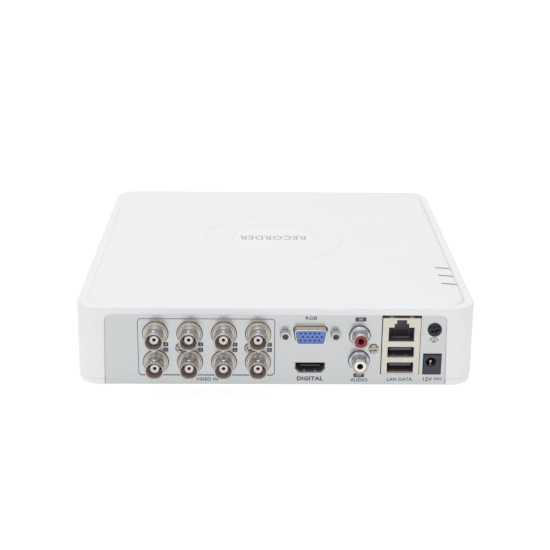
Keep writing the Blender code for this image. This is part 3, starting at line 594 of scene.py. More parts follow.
def body_ring(inset, height, radius=None, ramp_height=None):
    """The case's plan outline at one height. Along the panel side it may rise or fall to ramp_height."""
    half = HALF_WIDTH - inset
    radius = CORNER_RADIUS - inset if radius is None else radius
    corners = rounded(rectangle(-half, half, -half, half), radius, CORNER_STEPS)
    ring = []
    for i, point in enumerate(corners):
        ring.append(point)
        if i % (CORNER_STEPS + 1) == CORNER_STEPS:
            start, end = Vector(point), Vector(corners[(i + 1) % len(corners)])
            ring += [tuple(start.lerp(end, k / STRAIGHT_STEPS)) for k in range(1, STRAIGHT_STEPS)]
    made = []
    for x, y in ring:
        z = height
        if ramp_height is not None and y < 8 - half:
            share = min(max((92 - abs(x)) / 11, 0), 1)
            z += (ramp_height - height) * (share * share * (3 - 2 * share))
        made.append((x, y + BODY_CENTRE_Y, z))
    return made


def body_rings(*rows):
    return [body_ring(*row) for row in rows]


def slanted(low_x, high_x, y, half):
    """An indicator slot's outline: a round-ended bar that drops towards the panel near the case side."""
    slant = -0.2
    bar = rounded(rectangle(low_x, high_x, y - half, y + half), 0.9 * half, 5)
    return [(x, z + slant * (x - SLOT_START)) for x, z in bar]


def panel_outline(margin, below=-3):
    """The connector panel's outline with a margin round it, wider at the foot and open-ended below."""
    lean = PANEL_NARROWING / (PANEL_TOP - PANEL_LOW.z)
    top = PANEL_HALF_WIDTH - PANEL_NARROWING + margin
    foot = PANEL_HALF_WIDTH + lean * (PANEL_LOW.z - below) + margin
    high = PANEL_TOP + margin
    return rounded([(-foot, below), (foot, below), (top, high), (-top, high)], 2.8 + margin, 8)


def window_tool():
    """The solid that cuts the panel's opening: it flares out to a round edge where it meets the wall."""
    closest = 0.28
    base, far = panel_outline(closest), panel_outline(closest + 1)

    def ring(turn, deeper=0):
        points = []
        for (x, z), (far_x, far_z) in zip(base, far):
            wall = BACK + 0.4 * max(z - COVER_BOTTOM, 0) / (TOP - 2 - COVER_BOTTOM)
            radius = 0.3 + 0.4 * min(max(PANEL_TOP - z, 0) / 3, 1)
            flare = radius * (1 - math.sin(turn))
            depth = wall + radius * (1 - math.cos(turn)) + deeper
            points.append((x + (far_x - x) * flare, depth, z + (far_z - z) * flare))
        return points

    turns = [math.radians(angle) for angle in (0, 15, 30, 45, 60, 75, 90)]
    rings = [ring(0, -2), *(ring(turn) for turn in turns), ring(turns[-1], 4)]
    return loft(rings, WHITE)


def make_cover():
    """Drafted walls, a ledge inside a thin rolled lip, and a raised top that ramps down to the panel side."""
    lip_top = TOP - 1
    ramp_foot = 1.3
    ramp_end = 9.2
    slope = (TOP - lip_top) / (ramp_end - ramp_foot)
    rings = body_rings(
        (7.4, CEILING, 7), (7.2, CEILING - 0.8, 7), (3.4, CEILING - 0.8), (2.8, CEILING - 1.4),
        (2, COVER_BOTTOM), (0.15, COVER_BOTTOM), (0.03, COVER_BOTTOM + 0.05), (0, COVER_BOTTOM + 0.2),
        (0.4, TOP - 2), (0.46, TOP - 1.45), (0.58, TOP - 1.18), (0.8, TOP - 1.02), (1.05, lip_top),
    )
    for inset, height, radius in (
        (ramp_foot, lip_top - 0.02, None), (3.2, TOP - 1.2, None), (4.4, TOP - 1.2, 9), (4.9, TOP - 1.1, 9),
        (5.2, TOP - 0.82, 9), (5.5, TOP - 0.46, 9), (5.8, TOP - 0.2, 9), (6.2, TOP - 0.06, 9), (6.7, TOP, 9),
    ):
        rings.append(body_ring(inset, height, radius, lip_top + (inset - ramp_foot) * slope))
    rings += body_rings((ramp_end, TOP, 7), (ramp_end + 0.6, TOP, 7))
    shell = loft(rings, WHITE)

    bosses = [rod(x, y, 3.5, 10.4, CEILING + 0.6, segments=24) for x, y in CASE_SCREWS]
    shell = combined(shell, bosses, "UNION")

    tools = [window_tool()]
    tools += [prism(slanted(SLOT_START, 94.9, y, 0.9), CEILING - 2.6, TOP + 1, WHITE) for y in INDICATOR_ROWS]
    tools.append(rod(*EMBLEM_PLACE, EMBLEM_RADIUS + 0.05, TOP - 0.9, TOP + 1, segments=96))
    groove = [
        (38.9, TOP + 0.5), (38.9, TOP), (39.15, TOP - 0.22), (39.4, TOP - 0.3),
        (39.65, TOP - 0.22), (39.9, TOP), (39.9, TOP + 0.5),
    ]
    tools.append(hoop(groove, WHITE, EMBLEM_PLACE, 128))
    tools += [rod(x, y, 1.5, 0, 24) for x, y in CASE_SCREWS]
    shell = combined(shell, tools)
    piece("cover_moulding", shell, "case_white", body="cover", node="top_cover", edge=0.22)


def make_tray():
    """The lower shell, with its outer band, lip, screw posts, board pegs and air slots."""
    shell = loft(
        body_rings(
            (1.9, FLOOR_BOTTOM), (1.3, FLOOR_BOTTOM + 0.06), (0.8, FLOOR_BOTTOM + 0.24),
            (0.42, FLOOR_BOTTOM + 0.55), (0.2, FLOOR_BOTTOM + 1.1), (0.2, BASE_RIM_TOP - 0.4),
            (0.24, BASE_RIM_TOP - 0.1), (0.4, BASE_RIM_TOP), (2.4, BASE_RIM_TOP),
            (2.4, LIP_TOP), (3.9, LIP_TOP), (3.9, FLOOR_TOP),
        ),
        WHITE,
    )
    half = PANEL_HALF_WIDTH + 0.35
    front = PANEL_FACE + PANEL_THICKNESS + 2 * GAP
    tools = [
        block((-half, BACK - 5, 0), (half, front, 12), WHITE),
        block((-half, BACK - 4, FLOOR_TOP), (half, BACK + 5, 12), WHITE),
    ]
    shell = combined(shell, tools)
    posts = [rod(x, y, 4, FLOOR_BOTTOM + 0.6, 10, segments=24) for x, y in CASE_SCREWS]
    posts += [rod(x, y, 3.2, FLOOR_BOTTOM + 0.8, BOARD_LOW.z - GAP, segments=24) for x, y in BOARD_POSTS]
    shell = combined(shell, posts, "UNION")
    tools = []
    for x, y in CASE_SCREWS:
        tools += [rod(x, y, 1.6, 0, 11), rod(x, y, 3.2, 0, 7, segments=24)]
    tools += [rod(x, y, 2.3, 0, FLOOR_TOP + 1) for x, y in FEET]
    for side in (-1, 1):
        for row in range(4):
            outline = rounded(centred(side * 27, -28 - row * 8, 15, 1.5), 1.4, 5)
            tools.append(prism(outline, 0, FLOOR_TOP + 1, WHITE))
    shell = combined(shell, tools)
    piece("tray_moulding", shell, "case_white", node="base_tray", edge=0.18)


def make_feet():
    pad_top = FLOOR_BOTTOM - GAP
    profile = [
        (0, 0.5), (3.4, 0.5), (3.8, 0), (6.2, 0), (7, 0.6), (7, pad_top), (2, pad_top), (2, 4.2), (0, 4.2),
    ]
    mesh = turned(soften(profile, 0.3), RUBBER)
    for number, (x, y) in enumerate(FEET, 1):
        piece(f"foot_pad_{number}", mesh, "rubber", (x, y, 0), node=f"rubber_foot_{number}")


def make_emblem():
    """The round inlay in the top, with a plain word that reads from the side away from the connectors."""
    inner = EMBLEM_RADIUS - 0.5
    profile = [(0, -0.6), (inner, -0.6), (EMBLEM_RADIUS, -0.6)]
    profile += [(EMBLEM_RADIUS, -0.03), (inner, -0.03), (0, -0.03)]
    disc = turned(soften(profile, 0.06), EMBLEM, 96)
    place = (*EMBLEM_PLACE, TOP)
    piece("emblem_inlay", disc, "emblem_white", place, body="cover", node="emblem_disc")
    word = lettering("RECORDER", 38, 7, 0.8, 0.2, EMBLEM_INK, bold=0.012, rise=(-0.05, -0.005))
    piece("emblem_word", word, "emblem_white", place, (0, 0, math.radians(180)), body="cover")


def make_light_guide():
    low, high = box("light_guide")
    bar = block((low.x, low.y, low.z), (92, high.y, CEILING - GAP), GUIDE)
    fins = [slanted(low.x + 0.1, 94.2, y, 0.55) for y in INDICATOR_ROWS]
    fins = [prism(fin, low.z + 0.4, high.z - 0.6, GUIDE) for fin in fins]
    guide = combined(bar, fins, "UNION")
    piece("light_guide_bar", guide, "light_guide", body="cover", node="light_guide", edge=0.1)


# ---- Lettering ----

def lettering(words, width, height, x, y, made_of, bold=0, rise=(0.02, 0.06)):
    """Words as a thin solid, fitted to a width and a height, lying on the XY plane."""
    curve = bpy.data.curves.new("words", "FONT")
    curve.body = words
    curve.size = 1
    curve.extrude = 0.5
    curve.offset = bold
    curve.space_character = 1.08
    curve.resolution_u = 4
    writer = add("words", curve)
    bm = bmesh.new()
    bm.from_mesh(evaluated(writer))
    bpy.data.objects.remove(writer)
    bmesh.ops.remove_doubles(bm, verts=bm.verts, dist=1e-5)
    low = [min(v.co[axis] for v in bm.verts) for axis in range(3)]
    high = [max(v.co[axis] for v in bm.verts) for axis in range(3)]
    for vertex in bm.verts:
        share = [(vertex.co[axis] - low[axis]) / (high[axis] - low[axis]) for axis in range(3)]
        z = rise[0] + (rise[1] - rise[0]) * share[2]
        vertex.co = (x + width * (share[0] - 0.5), y + height * (share[1] - 0.5), z)
    return finished(bm, made_of, math.radians(20))


def make_printing():
    """The marks printed on the connector panel."""
    low, high = 0.01, 0.045
    raised = (high, high + 0.03)
    pale = []
    outer = rounded(rectangle(-68.8, -0.45, 7.15, 38.15), 1.9, 8)
    inner = rounded(rectangle(-68.45, -0.85, 7.75, 37.8), 1.5, 8)
    dark = [strip(outer, inner, low, high, INK_SOFT)]

    for column, x in enumerate((-54.8, -37.5, -20.4, -3.2)):
        for row, z in enumerate((24.2, 21.3)):
            dark.append(prism(rounded(centred(x, z, 1.25, 1.1), 0.5, 3), low, high, INK))
            number = str(2 * column + row + 1)
            width = 0.35 if number == "1" else 0.75
            pale.append(lettering(number, width, 1.15, x, z, INK_PALE, 0, raised))
    for words, x, z in (("IN", 42, 38), ("OUT", 41.9, 7.5)):
        dark.append(prism(rounded(centred(x, z, 2.75, 1.1), 0.5, 3), low, high, INK))
        pale.append(lettering(words, 0.85 * len(words), 1.2, x, z, INK_PALE, 0.01, raised))
    for words, width, height, x, z, bold in (
        ("VIDEO IN", 10.9, 1.8, -34.5, 5.2, 0.02),
        ("RGB", 5.6, 1.8, 17.4, 38.6, 0.02),
        ("DIGITAL", 13.2, 2.3, 17.3, 5.7, 0.045),
        ("AUDIO", 8.6, 1.8, 42, 5, 0.02),
        ("LAN DATA", 12.8, 1.8, 62.6, 5.4, 0.02),
        ("12V", 4.6, 2.1, 76.7, 5.5, 0.02),
    ):
        dark.append(lettering(words, width, height, x, z, INK, bold, (low, high)))

    x, z = 81.9, 5.5
    dark.append(block((x - 2, z + 0.4, low), (x + 2, z + 0.75, high), INK))
    for dash in (-1.5, 0, 1.5):
        dark.append(block((x + dash - 0.5, z - 0.45, low), (x + dash + 0.5, z - 0.1, high), INK))

    x, z = 78.9, 26.6
    steps = 14
    turns = [math.pi * n / steps for n in range(steps + 1)]
    outer = [(x + 2.2 * math.cos(a), z + 1.9 * math.sin(a)) for a in turns]
    inner = [(x + 1.75 * math.cos(a), z + 1.5 * math.sin(a)) for a in turns]
    dark.append(prism(outer + inner[::-1], low, high, INK))
    dark.append(block((x - 0.2, z + 0.05, low), (x + 0.2, z + 0.95, high), INK))
    for drop, half in ((-0.3, 1.3), (-0.95, 0.75)):
        dark.append(block((x - half, z + drop, low), (x + half, z + drop + 0.36, high), INK))

    on_panel("panel_printing_dark", merged(dark), "panel_sheet")
    on_panel("panel_printing_pale", merged(pale), "panel_sheet")


# ---- Screws ----

def screw(head_radius, head_height, shank_radius, shank_length, made_of):
    """A domed head on a threaded shank, with a cross recess."""
    profile = [(0, -shank_length), (0.6 * shank_radius, -shank_length)]
    pitch = 0.6
    root = 0.82 * shank_radius
    for turn in range(int((shank_length - 1) / pitch)):
        base = -shank_length + 0.5 + turn * pitch
        profile += [(root, base), (shank_radius, base + 0.5 * pitch)]
    profile += [(root, -0.3), (root, 0), (0.96 * head_radius, 0), (head_radius, 0.08)]
    for a in (0, 0.25, 0.5, 0.75, 1, 1.25):
        profile.append((head_radius * math.cos(a), 0.3 * head_height + 0.7 * head_height * math.sin(a)))
    profile.append((0, head_height))
    head = turned(profile, made_of, 40)
    long, thin = 0.68 * head_radius, 0.16 * head_radius
    foot = 0.15 * head_height
    bits = []
    for angle in (0, 90):
        ends = ((0.45 * long, 0.7 * thin, foot), (long, thin, head_height + 0.2))
        slot = loft([level(centred(0, 0, *halves), z) for *halves, z in ends], made_of)
        bits.append(moved(slot, Matrix.Rotation(math.radians(angle + 12), 4, "Z")))
    return combined(head, bits)


def make_screws():
    # The panel screws take the plating tone, partly painted light.
    mesh = screw(2.5, 1.5, 1.3, 8, PLATING_PAINTED_LIGHT)
    for number, place in enumerate(PANEL_SCREWS, 1):
        node = f"panel_screw_{number}"
        place = (place.x, PANEL_FACE - GAP, place.z)
        made = piece(f"{node}_cross_head", mesh, "steel", place, FACING_BACK, node=node, edge=0.06)
        made.rotation_euler.rotate_axis("Z", math.radians(25 * number))
    mesh = screw(3.55, 1.8, 1.8, 6, BLACK_STEEL_AND_SHADE)
    node = "ground_screw"
    on_panel(f"{node}_cross_head", mesh, "black_metal", GROUND.x, GROUND.z, node=node, edge=0.08)
    mesh = screw(2.8, 2, 1.2, 15, STEEL)
    for number, (x, y) in enumerate(CASE_SCREWS, 1):
        node = f"cover_screw_{number}"
        piece(f"{node}_cross_head", mesh, "steel", (x, y, 6.7), FACING_DOWN, node=node, edge=0.08)


# ---- Connector panel ----

BNC = [middle(f"bnc_barrel_{n}") for n in range(1, 9)]
PANEL_SCREWS = [middle(f"panel_screw_{n}") for n in (1, 2, 3)]
GROUND = middle("ground_screw")
VGA_X = middle("vga_shell").x
VGA_Z = middle("vga_jackscrew_left").z
JACKSCREWS = [middle(f"vga_jackscrew_{side}").x for side in ("left", "right")]
DIGITAL = middle("digital_video_shell")
AUDIO = {"in": middle("audio_barrel_in"), "out": middle("audio_barrel_out")}
NETWORK_LOW, NETWORK_HIGH = box("network_usb_shield")
NETWORK_X = middle("network_usb_shield").x
USB_FEET = (17.7, 9.2)
DC_LOW, DC_HIGH = box("dc_jack")
DC_X = middle("dc_jack").x
DC_HOLE = (78, 14.9)


def d_outline(wide, high, corner):
    """A D-shaped socket's outline, wide side up, with its ends sloping in by ten degrees."""
    foot = wide - 2 * high * math.tan(math.radians(10))
    return rounded([(foot, -high), (wide, high), (-wide, high), (-foot, -high)], corner, 5)


def digital_outline(margin):
    """The flat digital video socket's outline, with its lower corners cut off."""
    wide, high, low = 7.5 + margin, 2.75 + margin, 5.6 + margin
    points = [(low, -high), (wide, -0.6), (wide, high), (-wide, high), (-wide, -0.6), (-low, -high)]
    return rounded(points, 0.4, 3)


def network_outline(foot):
    """The network socket's stepped outline, with its latch notch at the top."""
    halves = [(6.35, foot, 33.9), (3.6, 33.9, 35.9), (2.45, 35.9, 37.9)]
    right = [point for half, low, high in halves for point in ((half, low), (half, high))]
    return right + [(-x, z) for x, z in reversed(right)]


def make_panel():
    """The folded satin metal sheet with a hole for each connector."""
    growth = 0.2
    upper = [(x, z) for x, z in panel_outline(growth, -10) if z > 0]
    foot = PANEL_HALF_WIDTH + growth
    outline = [(foot, PANEL_LOW.z + growth), *upper, (-foot, PANEL_LOW.z + growth)]
    sheet = prism(outline, -PANEL_THICKNESS, 0, SHEET)
    fold = block((-72, FLOOR_TOP + 0.3, -10), (72, FLOOR_TOP + 1.3, -0.5), SHEET)
    sheet = combined(sheet, [fold], "UNION")

    holes = [circle(p.x, p.z, 6.55, 48) for p in BNC]
    holes += [circle(p.x, p.z, 5.5, 48) for p in AUDIO.values()]
    holes += [circle(p.x, p.z, 1.6, 20) for p in PANEL_SCREWS]
    holes += [circle(GROUND.x, GROUND.z, 2.1, 20), shifted(d_outline(8.95, 4.07, 1.55), VGA_X, VGA_Z)]
    holes += [circle(x, VGA_Z, 1.7, 20) for x in JACKSCREWS]
    holes += [
        shifted(digital_outline(0.12), DIGITAL.x, DIGITAL.z),
        rectangle(NETWORK_LOW.x - 0.4, NETWORK_HIGH.x + 0.3, NETWORK_LOW.z - 0.3, 50),
        rectangle(DC_LOW.x - 0.3, DC_HIGH.x + 0.3, DC_LOW.z - 0.3, DC_HIGH.z + 0.3),
    ]
    sheet = combined(sheet, [prism(hole, -PANEL_THICKNESS - 1, 1, SHEET) for hole in holes])
    on_panel("panel_sheet", sheet, "panel_sheet", node="rear_panel", edge=0.1)


def make_video_inputs():
    """Eight bayonet sockets: turned barrels with two pegs each, white insulators and gold contacts darkened
    as painted shade. Each bore is a duller nickel as painted shade, and each lip a plating tone that is
    partly painted light.
    """
    profile = [
        (0, -12), (4, -12), (4, -1), (6.3, -1), (6.3, 0.35), (6.15, 0.6), (5.55, 0.66),
        (5.35, 0.98), (4.4, 1.06), (4, 1.3), (4, 2.3), (3.85, 2.45), (3.85, 2.8), (4, 2.95),
        (4, 4.1), (4.4, 4.5), (4.8, 4.75), (4.8, 10.5), (4.68, 10.85), (4.4, 11),
        (4.15, 10.9), (3.95, 10.6), (3.95, 5.5), (3.25, 5.5), (3.25, 1.7), (0, 1.7),
    ]
    smooth = soften(profile, 0.14)
    neck = next(i for i, (r, z) in enumerate(smooth) if r < 4.2 and z > 1)
    rim = next(i for i, (r, z) in enumerate(smooth) if z > 10.3)
    bore = next(i for i, (r, z) in enumerate(smooth) if r <= 3.96 and z > 9)
    # The bore takes the duller nickel as painted shade, and the lip a plating tone that is partly painted
    # light.
    barrel = turned(smooth, (NICKEL_WARM, NICKEL, PLATING_PAINTED_LIGHT, NICKEL_PAINTED_SHADE), 64, (neck, rim, bore))
    peg = turned(soften([(0, -0.6), (0.95, -0.6), (0.95, 0.85), (0, 0.85)], 0.2), NICKEL, 20)
    pegs = []
    for angle, y in ((-90, 4.8), (90, -4.8)):
        place = Matrix.Translation((0, y, 8.8)) @ Matrix.Rotation(math.radians(angle), 4, "X")
        pegs.append(moved(peg.copy(), place))
    barrel = combined(barrel, pegs, "UNION")

    post = [
        (0, 2), (3, 2), (3, 3.3), (2.15, 3.4), (2.2, 8.2), (1.1, 8.2), (0.9, 7.95), (0.9, 3.2), (0, 3.2),
    ]
    insulator = turned(soften(post, 0.18), PTFE, 40)
    pin = [(0, 3.3), (0.85, 3.3), (0.85, 7.1), (0.6, 7.1), (0.55, 6.9), (0.55, 3.8), (0, 3.8)]
    # The contact is gold darkened as painted shade.
    contact = turned(soften(pin, 0.08), GOLD_PAINTED_SHADE, 24)
    for number, place in enumerate(BNC, 1):
        x, z = place.x, place.z
        on_panel(f"bnc_socket_{number}", barrel, "nickel", x, z, node=f"bnc_barrel_{number}")
        on_panel(f"bnc_post_{number}", insulator, "insulator_white", x, z, node=f"bnc_insulator_{number}")
        on_panel(f"bnc_contact_{number}", contact, "nickel", x, z)


def hexagon_post(radius, foot, top, bore):
    """A hexagonal pillar with a turned chamfer at its tip, in a plating tone of its own that is partly
    painted light, and a threaded bore in a duller nickel as painted shade.
    """
    corners = [(radius * math.cos(a), radius * math.sin(a)) for a in (math.tau * n / 6 for n in range(6))]
    pillar = prism(corners, foot, top, NICKEL)
    cone = [(0, foot - 1), (radius + 1, foot - 1), (radius + 1, top - 1.4), (0.84 * radius, top), (0, top)]
    pillar = combined(pillar, [turned(cone, PLATING_PAINTED_LIGHT, 48)], "INTERSECT")
    thread = [(0, foot + 1.2), (bore, foot + 1.2)]
    height = foot + 1.2
    while height < top - 0.5:
        thread += [(bore + 0.12, height + 0.2), (bore, height + 0.4)]
        height += 0.4
    thread += [(bore, top - 0.25), (bore + 0.25, top + 0.1), (bore + 0.25, top + 1), (0, top + 1)]
    return combined(pillar, [turned(thread, NICKEL_PAINTED_SHADE, 32)])


def make_monitor_socket():
    behind = -PANEL_THICKNESS - GAP
    reach = PANEL_FACE - box("vga_shell")[0].y
    flange = prism(rounded(rectangle(-15.4, 15.4, -6.2, 6.2), 1), behind - 0.7, behind, PRESSED)
    taper = ((behind - 0.3, 0), (-0.4, 0), (0, 0.1), (0.4, 0.34), (1, 0.54), (reach, 0.6))
    collar = loft([level(d_outline(8.8 - pull, 3.9 - 0.25 * pull, 1.5), z) for z, pull in taper], PRESSED)
    shell = combined(flange, [collar], "UNION")
    tools = [prism(d_outline(7.72, 3.38, 1.22), behind - 2, 7, PRESSED)]
    tools += [rod(x - VGA_X, 0, 1.7, behind - 2, 1, PRESSED) for x in JACKSCREWS]
    shell = combined(shell, tools)
    on_panel("vga_collar", shell, "nickel", VGA_X, VGA_Z, node="vga_shell", edge=0.14)

    face = reach - 0.6
    insert = prism(d_outline(7.62, 3.3, 1.17), behind - 1.7, face, BLUE)
    body = block((-15, -8, -21), (15, 6.2, behind - 1), BLUE)
    leg = block((-14.9, box("vga_insert")[0].z - VGA_Z, -20.9), (14.9, -7, -11.6), BLUE)
    insert = combined(insert, [body, leg], "UNION")
    bore = [(0, -3), (0.4, -3), (0.4, -0.15), (0.52, 0.05), (0.52, 1), (0, 1)]
    bore = [(radius, face + height) for radius, height in bore]
    tools = []
    for row, shift in ((-1, -0.35), (0, 0.8), (1, -0.35)):
        for column in range(-2, 3):
            hole = turned(bore, NAVY, 16)
            tools.append(moved(hole, Matrix.Translation((column * 2.29 + shift, row * 1.86, 0))))
    insert = combined(insert, tools)
    on_panel("vga_face", insert, "blue_plastic", VGA_X, VGA_Z, node="vga_insert", edge=0.12)

    for side, x in zip(("left", "right"), JACKSCREWS):
        stud = rod(0, 0, 1.4, behind - 0.6, GAP + 0.5, NICKEL)
        post = combined(hexagon_post(2.7, GAP, reach - 0.3, 1.5), [stud], "UNION")
        on_panel(f"vga_post_{side}", post, "nickel", x, VGA_Z, node=f"vga_jackscrew_{side}", edge=0.08)


def make_digital_socket():
    back = -11
    # The mouth's walls take the light socket grey: painted light that lifts the shade inside the shell.
    mouth = prism(digital_outline(-0.28), back + 0.8, 2, CAVITY_PAINTED_LIGHT)
    shell = combined(prism(digital_outline(-0.1), back, -0.35, TIN), [mouth])
    x, z = DIGITAL.x, DIGITAL.z
    on_panel("digital_shell", shell, "nickel", x, z, node="digital_video_shell", edge=0.08)
    tongue = block((-5.2, 0.05, back + 1.1), (5.2, 0.95, -1.5), DARK_MOULDING_AND_SHADE)
    on_panel("digital_tongue", tongue, "black_plastic", x, z, node="digital_video_tongue", edge=0.15)
    springs = [block((x0 - 0.4, -2.45, -3.2), (x0 + 0.4, -2, -0.9), TIN) for x0 in (-2.8, 2.7)]
    on_panel("digital_springs", merged(springs), "nickel", x, z, edge=0.12)
    pads = [block((-4.6 + 0.5 * n, -0.12, back + 2), (-4.35 + 0.5 * n, 0.02, -3.6), GOLD) for n in range(19)]
    on_panel("digital_contacts", merged(pads), "nickel", x, z)


def make_audio_pair():
    profile = [
        (0, -10), (3.5, -10), (3.5, -1), (5.2, -1), (5.2, 0.5), (5.1, 1), (4.8, 1.4),
        (4.4, 1.62), (4.05, 1.8), (4, 2.5), (4.15, 2.8), (4.15, 6.9), (4.05, 7.4), (3.8, 7.8),
        (3.4, 8), (3.1, 7.8), (3.1, 1), (0, 1),
    ]
    smooth = soften(profile, 0.13)
    rim = next(i for i, (r, z) in enumerate(smooth) if z > 6.9)
    bore = next(i for i, (r, z) in enumerate(smooth) if r <= 3.11 and z > 6)
    # The lip takes the plating tone, partly painted light, and the bore the duller nickel as painted shade.
    barrel = turned(smooth, (NICKEL, PLATING_PAINTED_LIGHT, NICKEL_PAINTED_SHADE), 56, (rim, bore))
    ring = [(0, 1.3), (2.95, 1.3), (2.95, 7.75), (1.75, 7.75), (1.55, 7.5), (1.55, 1.8), (0, 1.8)]
    ring = soften(ring, 0.15)
    hole = next(i for i, (r, z) in enumerate(ring) if r <= 1.56 and z > 6)
    for way, colour, slot in (("in", RED, "red_plastic"), ("out", PTFE, "insulator_white")):
        x, z = AUDIO[way].x, AUDIO[way].z
        on_panel(f"phono_{way}_barrel", barrel, "nickel", x, z, node=f"audio_barrel_{way}")
        # The ring's hole is lined with the dark moulding: painted shade.
        insulator = turned(ring, (colour, DARK_MOULDING_AND_SHADE), 48, (hole,))
        on_panel(f"phono_{way}_ring", insulator, slot, x, z, node=f"audio_insulator_{way}")
        # A black sleeve in each hole, standing for the contact in its shade: painted shade.
        sleeve = hoop([(1.15, 2), (1.5, 2), (1.5, 6.6), (1.15, 6.6)], BLACK_STEEL_AND_SHADE, segments=32)
        on_panel(f"phono_{way}_contact", sleeve, "nickel", x, z)


def make_network_stack():
    """One network socket over two USB sockets in one folded can."""
    front = 0.5
    back = NETWORK_HIGH.y - PANEL_FACE
    wall = 0.45
    half = (NETWORK_HIGH.x - NETWORK_LOW.x) / 2
    low, high = NETWORK_LOW.z, NETWORK_HIGH.z
    can = block((-half, low, -back), (half, high, front), TIN)
    tools = [block((wall - half, low - 3, wall - back), (half - wall, high - wall, front - wall), TIN)]
    sockets = [rounded(rectangle(-6.6, 6.6, foot, foot + 5.7), 0.5, 3) for foot in USB_FEET]
    mouths = [network_outline(26.4), *sockets]
    tools += [prism(mouth, front - 1, front + 1, TIN) for mouth in mouths]
    on_panel("stack_can", combined(can, tools), "nickel", NETWORK_X, node="network_usb_shield", edge=0.12)

    edge = wall + 0.3
    face = front - edge
    # The insert is the light socket grey: painted light that lifts the shade in the sockets.
    insert = block((edge - half, low, edge - back), (half - edge, high - edge, face), CAVITY_PAINTED_LIGHT)
    cavities = [network_outline(26.2), *sockets]
    insert = combined(insert, [prism(cavity, -9, 2, CAVITY_PAINTED_LIGHT) for cavity in cavities])
    on_panel("stack_insert", insert, "black_plastic", NETWORK_X, node="network_usb_insert", edge=0.1)

    tongues = [block((-5.6, foot + 3.2, -9.5), (5.6, foot + 4.7, -1.2), TONGUE) for foot in USB_FEET]
    on_panel("usb_tongues", merged(tongues), "black_plastic", NETWORK_X, edge=0.2)
    strips = []
    for foot in USB_FEET:
        for x in (-3.5, -1, 1, 3.5):
            strips.append(block((x - 0.5, foot + 3.05, -8.8), (x + 0.5, foot + 3.25, -2.2), GOLD))
        for x in (-3.2, 3.2):
            strips.append(block((x - 0.7, foot + 0.1, -7), (x + 0.7, foot + 0.4, -2.2), STEEL))
        strips.append(block((-6.3, foot + 0.05, -1.2), (6.3, foot + 0.3, face - 0.1), TIN))
    on_panel("usb_contacts", merged(strips), "nickel", NETWORK_X, edge=0.06)
    # The wires are gold darkened as painted shade, and the bar below them the duller nickel as painted shade.
    wires = []
    for x in [(n - 3.5) * 1.02 for n in range(8)]:
        route = [(x, 27, -6.4), (x, 27.3, -6.9), (x, 28.2, -8), (x, 28.8, -9.2)]
        wires.append(tube(route, 0.15, GOLD_PAINTED_SHADE, 8))
    wires.append(block((-4.2, 27.5, -2.8), (4.2, 27.65, -2.2), NICKEL_PAINTED_SHADE))
    on_panel("network_contacts", merged(wires), "nickel", NETWORK_X)
    tabs = []
    for x in (-5.1, 4.9):
        rings = []
        for depth, rise in ((-6, 0), (-3, 0.35), (-1.2, 0.42), (-0.4, 0.2), (0.1, -0.02)):
            rings.append(level(rectangle(x - 1.1, x + 1.1, high + rise, high + rise + 0.16), depth))
        tabs.append(loft(rings, TIN))
    on_panel("stack_springs", merged(tabs), "nickel", NETWORK_X)


def make_power_jack():
    depth = 14
    front = PANEL_FACE - DC_LOW.y
    half = (DC_HIGH.x - DC_LOW.x) / 2
    body = block((-half, DC_LOW.z, -depth), (half, DC_HIGH.z, front), DARK_MOULDING_AND_SHADE)
    radius = 2.85
    mouth = radius + 0.3
    profile = [(0, -8), (radius, -8), (radius, front - 0.3)]
    profile += [(mouth, front), (mouth, front + 1), (0, front + 1)]
    place = Matrix.Translation((DC_HOLE[0] - DC_X, DC_HOLE[1], 0))
    # The hole's walls take the light socket grey: painted light that lifts its shade.
    body = combined(body, [moved(turned(profile, CAVITY_PAINTED_LIGHT, 48), place)])
    on_panel("jack_body", body, "black_plastic", DC_X, node="dc_jack", edge=0.25)
    # The pin and its spring take the plating tone, partly painted light.
    profile = [(0, -8), (0.85, -8), (0.85, -1.3), (0.6, -0.9), (0, -0.85)]
    pin = turned(soften(profile, 0.2), PLATING_PAINTED_LIGHT, 28)
    on_panel("jack_pin", pin, "nickel", *DC_HOLE)
    strips = [
        block((-0.4, -2.35, -2.6), (0, -1, -1.4), PLATING_PAINTED_LIGHT),
        block((-0.4, -2.6, -7.6), (1.1, -2.35, -1.4), PLATING_PAINTED_LIGHT),
    ]
    on_panel("jack_spring", merged(strips), "nickel", *DC_HOLE, edge=0.08)


# ---- Inside the case ----

def flat_chip(x, y, width, depth, pins):
    """A moulded chip on the main board, with gull-wing legs on two sides."""
    base = BOARD_TOP + 0.15
    height = 1.1
    steps = ((0.15, 0), (0, height / 2), (0.15, height))
    rings = [level(centred(x, y, width / 2 - pull, depth / 2 - pull), base + z) for pull, z in steps]
    legs = []
    for side in (-1, 1):
        low, high = sorted((side * (width / 2 - 0.1), side * (width / 2 + 0.8)))
        for n in range(pins):
            row = y + n - (pins - 1) / 2
            legs.append(block((x + low, row - 0.2, base), (x + high, row + 0.2, base + 0.25), STEEL))
    return loft(rings, CHIP), legs


